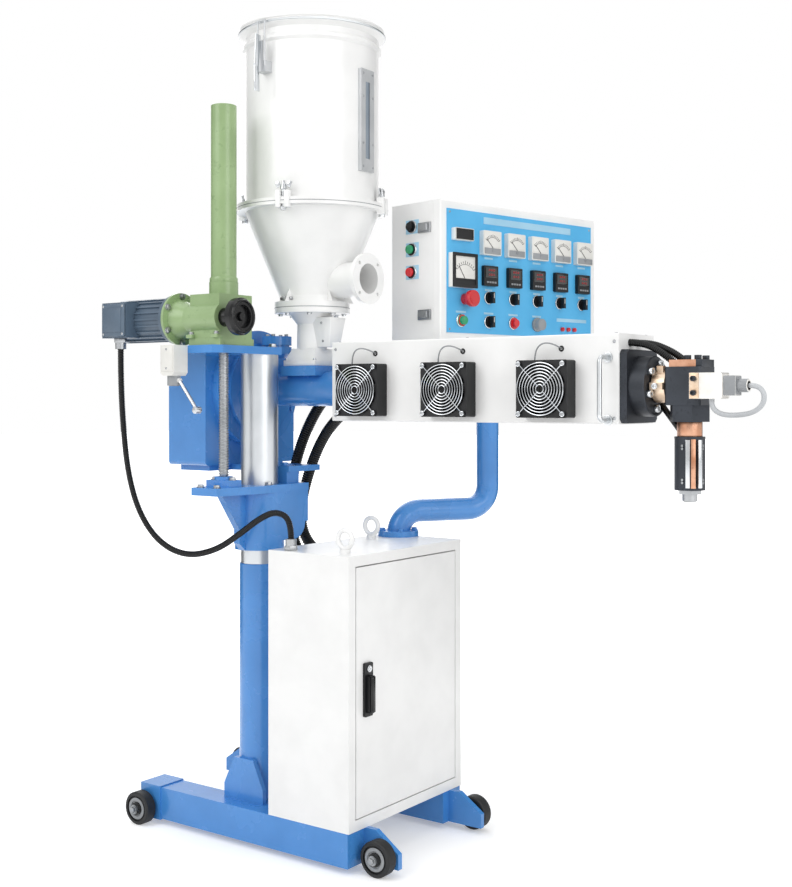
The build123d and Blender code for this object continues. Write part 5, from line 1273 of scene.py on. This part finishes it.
@dataclass
class Die:
    """Bolts, bright strips, the terminal plate and the plug of the die and its heater."""

    x: float = 1054.0
    y: float = 115.0
    axis_z: float = 1075.0
    top_z: float = 1127.5
    top_bolts: tuple[tuple[float, float], ...] = ((1058.0, 95.0), (1080.0, 95.0), (1080.0, 135.0))
    plate_end: tuple[float, float] = (1086.2, 1113.0)
    shell_radius: float = 30.5
    shell_z: float = 920.0
    lip_radius: float = 38.1
    lip_turns: tuple[float, float] = (-73.0, -35.0)
    lip_sunk: float = 1.6
    slot_turn: float = -54.0
    slot_sunk: float = 0.9
    screw_turn: float = 40.0
    screw_sunk: float = 0.3
    screw_levels: tuple[float, ...] = (882.0, 888.0, 950.0, 956.0)
    neck_z: float = 973.8
    neck_radius: float = 25.2
    lead: tuple[tuple[float, float, float], ...] = (
        (972.0, 142.0, 1050.0),
        (986.0, 138.0, 1033.0),
        (1034.0, 132.0, 976.0),
        (1038.0, 131.0, 968.0),
    )
    lead_radius: float = 6.5
    band_screw: tuple[float, float] = (999.0, 74.0)
    plate_front: float = 55.0
    tan_x: float = 1088.5
    tan_depth: float = 2.0
    tan_screw: float = 14.0
    plug_face: float = 1144.2
    plug_y: float = 77.0
    plug_depth: float = 26.0

    def build(self) -> None:
        """Build every piece of the die."""
        tops = [standing(at(x, y, self.top_z), Z_WAY) for x, y in self.top_bolts]
        dressed(repeated(socket_bolt(9), tops), "top_plate_screws", BLACK_IRON, CARRIAGE)
        # A blackened-steel block over the copper plate's right end: painted shade for that end face, which
        # lies darker in shade.
        x, z = self.plate_end
        place = Matrix.Translation(at(x, self.y, z))
        dressed(placed(block(13, 63, 15), place), "top_plate_painted_shade_end", BLACK_IRON, CARRIAGE)
        self.heater()
        self.terminal()
        sleeve = step_top(drum(self.neck_radius, 29, 0.8, 40), 2, 0.6)
        place = Matrix.Translation(at(self.x, self.y, self.neck_z))
        dressed(placed(sleeve, place), "copper_neck", COPPER, CARRIAGE)
        lead = wire(eased([at(*point) for point in self.lead]), self.lead_radius)
        dressed(lead, "nozzle_lead", HOSE, CARRIAGE, ROUND_SMOOTH)
        clamp = standing(at(*self.band_screw, self.axis_z), -Y_WAY)
        dressed(placed(socket_bolt(8), clamp), "neck_band_screw", BRIGHT, CARRIAGE)

    def around(self, turn: float, out: float, z: float) -> Matrix:
        """Return a place on the heater's shell that faces outwards at a turn in degrees.

        Args:
            turn: Degrees from the X axis.
            out: Millimetres from the die's axis.
            z: The height in millimetres.

        Returns:
            The placing matrix.
        """
        way = level(turn)
        return standing(at(self.x, self.y, z) + way * out * MM, way)

    def heater(self) -> None:
        """Add the bright lips beside the slot, the copper that shows in it and the screws."""
        lip_out = self.lip_radius - self.lip_sunk
        strips = [placed(block(8.4, 96, 3, 0.8), self.around(turn, lip_out, self.shell_z))
                  for turn in self.lip_turns]
        dressed(joined(strips), "heater_strips", BRIGHT, CARRIAGE)
        place = self.around(self.slot_turn, self.shell_radius - self.slot_sunk, self.shell_z)
        dressed(placed(block(10, 98, 2.4), place), "heater_slot", COPPER, CARRIAGE)
        screw_out = self.shell_radius - self.screw_sunk
        screws = [self.around(self.slot_turn + side * self.screw_turn, screw_out, z)
                  for side in (-1, 1) for z in self.screw_levels]
        dressed(repeated(socket_bolt(3), screws), "heater_screws", STEEL, CARRIAGE)

    def terminal(self) -> None:
        """Face the terminal with a tan end and two screws, and shell its plug in grey."""
        tan = block(19, 50, self.tan_depth)
        place = standing(at(self.tan_x, self.plate_front, self.axis_z), -Y_WAY)
        dressed(placed(tan, place), "terminal_tan_end", CREAM_BAND, CARRIAGE)
        front = self.plate_front - self.tan_depth
        screws = [standing(at(self.tan_x, front, self.axis_z + side * self.tan_screw), -Y_WAY)
                  for side in (-1, 1)]
        dressed(repeated(socket_bolt(7), screws), "terminal_block_screws", BLACK_IRON, CARRIAGE)
        shell = step_top(block(39, 33.4, self.plug_depth, 2), 2.5, 1)
        collar = placed(step_top(drum(13, 20, 0.8), 3, 0.8), shifted(z=self.plug_depth))
        place = standing(at(self.plug_face, self.plug_y, self.axis_z), X_WAY, 90)
        dressed(placed(joined([shell, collar]), place), "plug_shell", GREY, CARRIAGE)


@dataclass
class Cabinet:
    """Lock, glands and pipe flange bolts of the cabinet."""

    handle: tuple[float, float, float] = (358.0, -33.0, 400.0)
    lock_up: float = 47.0
    lever_out: float = 10.0
    lever_down: float = 10.0
    pipe_foot: tuple[float, float, float] = (178.0, 327.0, 716.0)
    pipe_head: tuple[float, float, float] = (309.0, 545.0, 1177.0)
    pipe_circle: float = 41.0
    motor_gland: tuple[float, float] = (-250.5, -216.0)
    cabinet_gland: tuple[float, float] = (165.0, -75.0)
    nut_levels: tuple[float, float] = (1195.0, 702.0)
    dome_levels: tuple[float, float] = (1169.0, 728.0)
    hose_feet: tuple[tuple[float, float, float], ...] = ((105.0, 208.0, 600.0), (105.0, 208.0, 648.0))
    hose_foot_sunk: float = 9.0
    hose_tops: tuple[tuple[float, float, float], ...] = ((187.0, 184.0, 1080.0), (187.0, 184.0, 1025.0))

    def build(self) -> None:
        """Build every piece of the cabinet."""
        x, y, z = self.handle
        lock = step_top(step_top(drum(8, 3, 0.6), 2, 1.5), 3.5, -1)
        dressed(placed(lock, standing(at(x, y, z + self.lock_up), X_WAY)), "door_lock", BRIGHT, CABINET_LEAF)
        lever = bevelled(step_top(block(16, 80, 3, 1.2), 3, 1.2), 0.5)
        place = standing(at(x + self.lever_out, y, z - self.lever_down), X_WAY)
        dressed(placed(lever, place), "door_lever", GLOSS_BLACK, CABINET_LEAF)
        bolts = ring_of(at(*self.pipe_foot), Z_WAY, self.pipe_circle, 4, 45)
        bolts += ring_of(at(*self.pipe_head), -Z_WAY, self.pipe_circle, 4, 45)
        dressed(repeated(hex_bolt(8), bolts), "pipe_flange_bolts", BLUE, STAND)
        self.glands()
        self.hose_nuts()

    def glands(self) -> None:
        """Add a nut and a dome to each end of the motor's conduit."""
        motor, cabinet = self.motor_gland, self.cabinet_gland
        nuts = [standing(at(*motor, self.nut_levels[0]), -Z_WAY),
                standing(at(*cabinet, self.nut_levels[1]), Z_WAY)]
        nut = step_top(drum(16, 11, 1, 6), 3, 2)
        dressed(repeated(nut, nuts), "gland_nuts", STEEL, STAND)
        domes = [standing(at(*motor, self.dome_levels[0]), Z_WAY),
                 standing(at(*cabinet, self.dome_levels[1]), -Z_WAY)]
        dome = bevelled(start(Solid.CONE, 32, radius=10.5, top=13.4, depth=10), 0.8)
        dressed(repeated(dome, domes), "gland_domes", STEEL, STAND)

    def hose_nuts(self) -> None:
        """Add an eight-sided nut to each end of the two hoses."""
        nut = step_top(drum(21, 6, 1, 8), 3, 1.5)
        upper = copy_of(nut)
        feet = [standing(at(*spot), -X_WAY) @ shifted(z=-self.hose_foot_sunk) for spot in self.hose_feet]
        dressed(repeated(nut, feet), "hose_nuts", BLACK, STAND)
        tops = [standing(at(*spot), -X_WAY) for spot in self.hose_tops]
        dressed(repeated(upper, tops), "barrel_hose_nuts", BLACK, CARRIAGE)


@dataclass
class ControlBox:
    """The panel's dials, displays, marks and caps, in the panel's own plane."""

    middle: tuple[float, float, float] = (329.0, 545.0, 1361.0)
    turn: float = -12.0
    face_out: float = 102.3
    half_width: float = 290.0
    columns: tuple[float, ...] = (-126.9, -37.8, 51.3, 140.4, 229.5)
    left: float = -224.1
    meter_row: float = 75.0
    controller_row: float = -6.0
    selector_row: float = -60.0
    button_row: float = -120.0
    meter_out: float = 14.0
    controller_out: float = 10.0
    knob_out: float = 19.6
    meter_width: float = 57.0
    recorder_side: float = 84.0
    recorder_card: float = 68.0
    collar_radius: float = 14.6
    half_sweep: int = 50
    tick_step: int = 10
    lamp_start: float = 150.0
    lamp_step: float = 24.0
    label_thick: float = 0.5
    label_edge: float = 0.15
    title_place: tuple[float, float] = (20.0, 131.0)
    panel_screw: tuple[float, float] = (262.0, 142.0)
    side_levels: tuple[float, ...] = (0.0, 56.0, 112.0)
    latch_across: float = 45.0
    latch_level: float = 106.25

    def __post_init__(self) -> None:
        """Work out the panel's and the side wall's frames."""
        spin = math.radians(self.turn)
        front = Vector((math.cos(spin), math.sin(spin), 0))
        right = Vector((-math.sin(spin), math.cos(spin), 0))
        origin = at(*self.middle) + front * self.face_out * MM
        self.panel = Matrix.Translation(origin) @ Matrix((right, Z_WAY, front)).transposed().to_4x4()
        side_origin = at(*self.middle) - right * self.half_width * MM
        self.side = Matrix.Translation(side_origin) @ Matrix((front, Z_WAY, -right)).transposed().to_4x4()

    def on(self, across: float, up: float, out: float = 0.0, turn: float = 0.0) -> Matrix:
        """Return a place on the panel.

        Args:
            across: Millimetres to the right of its middle.
            up: Millimetres over its middle.
            out: Millimetres in front of it.
            turn: A turn in its plane in degrees.

        Returns:
            The placing matrix.
        """
        return self.panel @ Matrix.Translation(Vector((across, up, out)) * MM) @ turned(turn)

    def build(self) -> None:
        """Build every piece of the control box."""
        self.meters()
        self.recorder()
        self.controllers()
        self.knobs()
        self.caps()
        self.labels()
        self.side_plates()

    def scale(self, pivot: Matrix, reach: float, tick: float, needle: float) -> list[bpy.types.Object]:
        """Return the ticks, the arc and the needle of one dial.

        Args:
            pivot: The place of the needle's pivot on the card.
            reach: The radius to the middle of the ticks in millimetres.
            tick: The length of a short tick in millimetres.
            needle: The needle's turn in degrees.

        Returns:
            The marks, each with its place in its mesh.
        """
        marks = []
        for i in range(2 * self.half_sweep // self.tick_step + 1):
            long = tick * (LONG_TICK if i % 5 == 0 else 1.0)
            bar = start(Solid.CUBE, x=1.1, y=long, z=0.5)
            spin = turned(self.half_sweep - self.tick_step * i)
            marks.append(placed(bar, pivot @ spin @ shifted(y=reach)))
        turns = range(self.half_sweep, -self.half_sweep - 1, -self.tick_step // 2)
        arc = [Vector((-math.sin(math.radians(turn)), math.cos(math.radians(turn)), 0)) * (reach - tick) * MM
               for turn in turns]
        marks.append(placed(wire(arc, 0.5), pivot))
        hand = start(Solid.CUBE, x=1.2, y=reach * 0.95, z=0.6)
        over = pivot @ shifted(z=NEEDLE_LIFT)
        marks.append(placed(hand, over @ turned(needle) @ shifted(y=reach * 0.47)))
        return marks

    def meters(self) -> None:
        """Give the five ammeters dial cards, scales, needles and dark feet."""
        row, out = self.meter_row, self.meter_out
        faces, marks, feet = [], [], []
        for column in self.columns:
            faces.append(placed(block(self.meter_width, 36, 1), self.on(column, row + 8, out)))
            marks += self.scale(self.on(column, row - 12, out + 1), 30, 4, 46)
            feet.append(placed(block(self.meter_width, 15, 1.6), self.on(column, row - 20, out)))
            hub = step_top(drum(4, 2.4, 0.5, 20), 1.2, -0.6)
            feet.append(placed(hub, self.on(column, row - 18, out + 1)))
        dressed(joined(faces), "meter_cards", IVORY, CONTROL_LEAF)
        dressed(joined(marks), "meter_scales", BLACK, CONTROL_LEAF)
        dressed(joined(feet), "meter_feet", GREY, CONTROL_LEAF)

    def recorder(self) -> None:
        """Dress the left column: a dark display above a black-framed speed dial."""
        row, out = self.controller_row, self.meter_out
        display = step_top(block(58, 26, 2), 4, -0.6)
        frame = step_top(block(self.recorder_side, self.recorder_side, 4, 1.2), 7, -3.0)
        pieces = [placed(display, self.on(self.left, self.meter_row + 14, out)),
                  placed(frame, self.on(self.left, row + 7, out))]
        dressed(joined(pieces), "recorder_frames", BLACK, CONTROL_LEAF)
        card = block(self.recorder_card, self.recorder_card, 0.8, 0.2)
        dressed(placed(card, self.on(self.left, row + 7, out + 1)), "recorder_card", IVORY, CONTROL_LEAF)
        marks = self.scale(self.on(self.left, row - 16, out + 1.8), 42, 5, 34)
        base = placed(block(self.recorder_card, 14, 1.4), self.on(self.left, row - 20, out + 1.6))
        dressed(joined([*marks, base]), "recorder_scale", BLACK, CONTROL_LEAF)

    def controllers(self) -> None:
        """Give each controller a dark window, two lines of figures and four keys."""
        row, out = self.controller_row, self.controller_out
        windows, keys, figures = [], [], []
        for column in self.columns:
            windows.append(placed(step_top(block(42, 25, 1.6), 1.6, -0.5), self.on(column, row + 8, out)))
            for line in (14, 3):
                for i in range(3):
                    figure = start(Solid.TORUS, 4, radius=2.6, wire=0.55)
                    figures.append(placed(figure, self.on(column - 8 + 8 * i, row + line, out + 1.4, 45)))
            for i in range(4):
                key = step_top(block(6.5, 4.5, 1.6, 0.5), 0.8, 0.4)
                keys.append(placed(key, self.on(column - 13.5 + 9 * i, row - 16, out)))
        dressed(joined(windows), "controller_windows", WINDOW, CONTROL_LEAF)
        dressed(joined(figures), "controller_figures", RED, CONTROL_LEAF)
        dressed(joined(keys), "controller_keys", GREY, CONTROL_LEAF)

    def knobs(self) -> None:
        """Add collars and white pointers to the selectors, and collars to the buttons."""
        places = [(column, self.selector_row) for column in self.columns]
        places.append((self.columns[0], self.button_row))
        collars, pointers = [], []
        for across, up in places:
            ring = start(Solid.TORUS, 32, radius=self.collar_radius, wire=1.6)
            collars.append(placed(ring, self.on(across, up, 1)))
            pointers.append(placed(block(1.6, 13, 0.8, 0.3), self.on(across, up + 5, self.knob_out)))
        for across in (self.left, self.columns[1]):
            ring = start(Solid.TORUS, 32, radius=self.collar_radius, wire=1.8)
            collars.append(placed(ring, self.on(across, self.button_row, 1.4)))
        dressed(joined(collars), "knob_collars", BRIGHT, CONTROL_LEAF)
        dressed(joined(pointers), "knob_pointers", IVORY, CONTROL_LEAF)

    def caps(self) -> None:
        """Add the start button's cap, the speed knob, the stop button's mushroom and the fault lamps."""
        cap = step_top(step_top(start(Solid.CYLINDER, 32, radius=14.4, depth=6.4), 3.8, 8.6), 3, -0.8)
        place = self.on(self.left, self.button_row)
        dressed(placed(bevelled(cap, 0.6), place), "start_cap", LAMP_GREEN, CONTROL_LEAF)
        dial = step_top(step_top(start(Solid.CYLINDER, 32, radius=18, depth=6), 3, 15), 2, 1)
        place = self.on(self.columns[2], self.button_row)
        dressed(placed(bevelled(dial, 0.8), place), "speed_knob", GREY, CONTROL_LEAF)
        stop = step_top(bevelled(start(Solid.CYLINDER, 40, radius=20.4, depth=13), 3, 3), 4, 0.8)
        place = self.on(self.left + 14, self.selector_row - 7, self.knob_out)
        dressed(placed(stop, place), "stop_mushroom", RED, CONTROL_LEAF)
        lamps = []
        for i in range(3):
            lamp = step_top(drum(5.5, 7, 0.8, 20), 1.4, 1.6)
            lamps.append(placed(lamp, self.on(self.lamp_start + self.lamp_step * i, self.button_row - 8)))
        dressed(joined(lamps), "fault_lamps", RED, CONTROL_LEAF)

    def labels(self) -> None:
        """Lay bare label strips under the instruments and along the panel's head."""
        rows = [(30, 5, column, self.meter_row - 37) for column in self.columns]
        rows += [(26, 5, column, self.selector_row + 19) for column in self.columns]
        rows += [(34, 5, column, self.button_row + 21) for column in (self.left, *self.columns[:3])]
        rows.append((120, 9, 190, self.button_row + 16))
        strips = [placed(block(wide, tall, self.label_thick, self.label_edge), self.on(across, up))
                  for wide, tall, across, up in rows]
        dressed(joined(strips), "label_strips", PALE_BLUE, CONTROL_LEAF)
        title = step_top(block(330, 17, 0.8, 0.3), 1.4, 0.3)
        dressed(placed(title, self.on(*self.title_place)), "title_strip", PALE_BLUE, CONTROL_LEAF)
        screws = [self.on(dx, dz) for dx, dz in corners_of(*self.panel_screw)]
        dressed(repeated(pan_screw(3), screws), "panel_screws", STEEL, CONTROL_LEAF)

    def side_plates(self) -> None:
        """Add plates and collars to the three buttons on the side, caps to two of them, and faces to the
        latches.
        """
        plates, collars = [], []
        for up in self.side_levels:
            place = self.side @ shifted(y=up)
            plates.append(placed(block(46, 34, 1, 0.3), place))
            collars.append(placed(start(Solid.TORUS, 32, radius=14.4, wire=2), place @ shifted(z=2)))
        dressed(joined(plates), "side_button_plates", PALE_BLUE, STAND)
        dressed(joined(collars), "side_button_collars", BRIGHT, STAND)
        for up, name, finish in zip(self.side_levels, ("side_stop_cap", "side_start_cap"), (RED, LAMP_GREEN)):
            cap = step_top(drum(10.6, 15, 1), 3, -0.8)
            dressed(placed(cap, self.side @ shifted(y=up)), name, finish, STAND)
        latches = []
        for up in (-self.latch_level, self.latch_level):
            for wide, tall, thick in ((44, 25, 4.6), (31, 16, 10.8)):
                body = step_top(block(wide, tall, thick, 1), 3, 0.6)
                latches.append(placed(body, self.side @ shifted(self.latch_across, up)))
        dressed(joined(latches), "box_latches", STEEL, STAND)


def cords() -> tuple[Cord, ...]:
    """Return the six cords with the routes that the photograph shows."""
    return (
        Cord("motor_conduit", 7.5, 0.911, (
            (-250.5, -216, 1169), (-250.5, -216, 1099), (-248, -211, 985), (-243, -200, 870),
            (-222, -184, 775), (-172, -166, 705), (-100, -146, 676), (-20, -128, 694), (48, -116, 738),
            (100, -108, 775), (138, -95, 792), (165, -75, 772), (165, -75, 728)), HOSE, 4.0, 1.5, body=STAND),
        Cord("barrel_hose_1", 14, 0.734, (
            (178, 184, 1080), (122, 184, 1080), (58, 187, 1060), (8, 190, 1004), (-36, 192, 925),
            (-62, 194, 845), (-74, 196, 760), (-64, 202, 680), (-22, 206, 622), (40, 208, 600),
            (105, 208, 600)), HOSE, 6.0, 2.0, bends=True),
        Cord("barrel_hose_2", 14, 0.578, (
            (178, 184, 1025), (134, 184, 1025), (88, 188, 1000), (42, 190, 952), (4, 192, 886),
            (-26, 194, 808), (-38, 196, 742), (-20, 202, 684), (34, 208, 648),
            (105, 208, 648)), HOSE, 6.0, 2.0, bends=True),
        Cord("die_conduit_1", 7.5, 0.108, (
            (932, 94.5, 1165), (960, 95, 1164), (990, 100, 1150), (1010, 106, 1134),
            (1026, 110, 1121)), HOSE, 4.0, 1.4),
        Cord("die_conduit_2", 7.5, 0.118, (
            (932, 130.25, 1165), (964, 130.25, 1164), (998, 130.25, 1151), (1022, 130.25, 1138),
            (1040, 130.25, 1124)), HOSE, 4.0, 1.4),
        Cord("plug_cable", CABLE_RADIUS, 0.184, (
            (1191, 77, 1075), (1207, 77, 1075), (1222, 75, 1061), (1221, 73, 1039), (1201, 71, 1022),
            (1167, 70, 1017), (1136, 70, 1019), (1118, 70, 1033), (1118, 70, 1049.5)), PALE_CABLE, 3.0, 0.0),
    )


def main() -> None:
    """Load the frame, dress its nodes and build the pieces."""
    logging.basicConfig(level=logging.INFO, format="%(message)s")
    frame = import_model()
    Studio().build()
    for cord in cords():
        cord.build()
    for finish, names in NODE_FINISHES.items():
        for name in names:
            shown = frame["nodes"][name]
            shown.data.materials.clear()
            shown.data.materials.append(finish.build())
    for assembly in (Base(), Lift(), FeedHead(), BarrelUnit(), Die(), Cabinet(), ControlBox()):
        assembly.build()


if __name__ == "__main__":
    main()
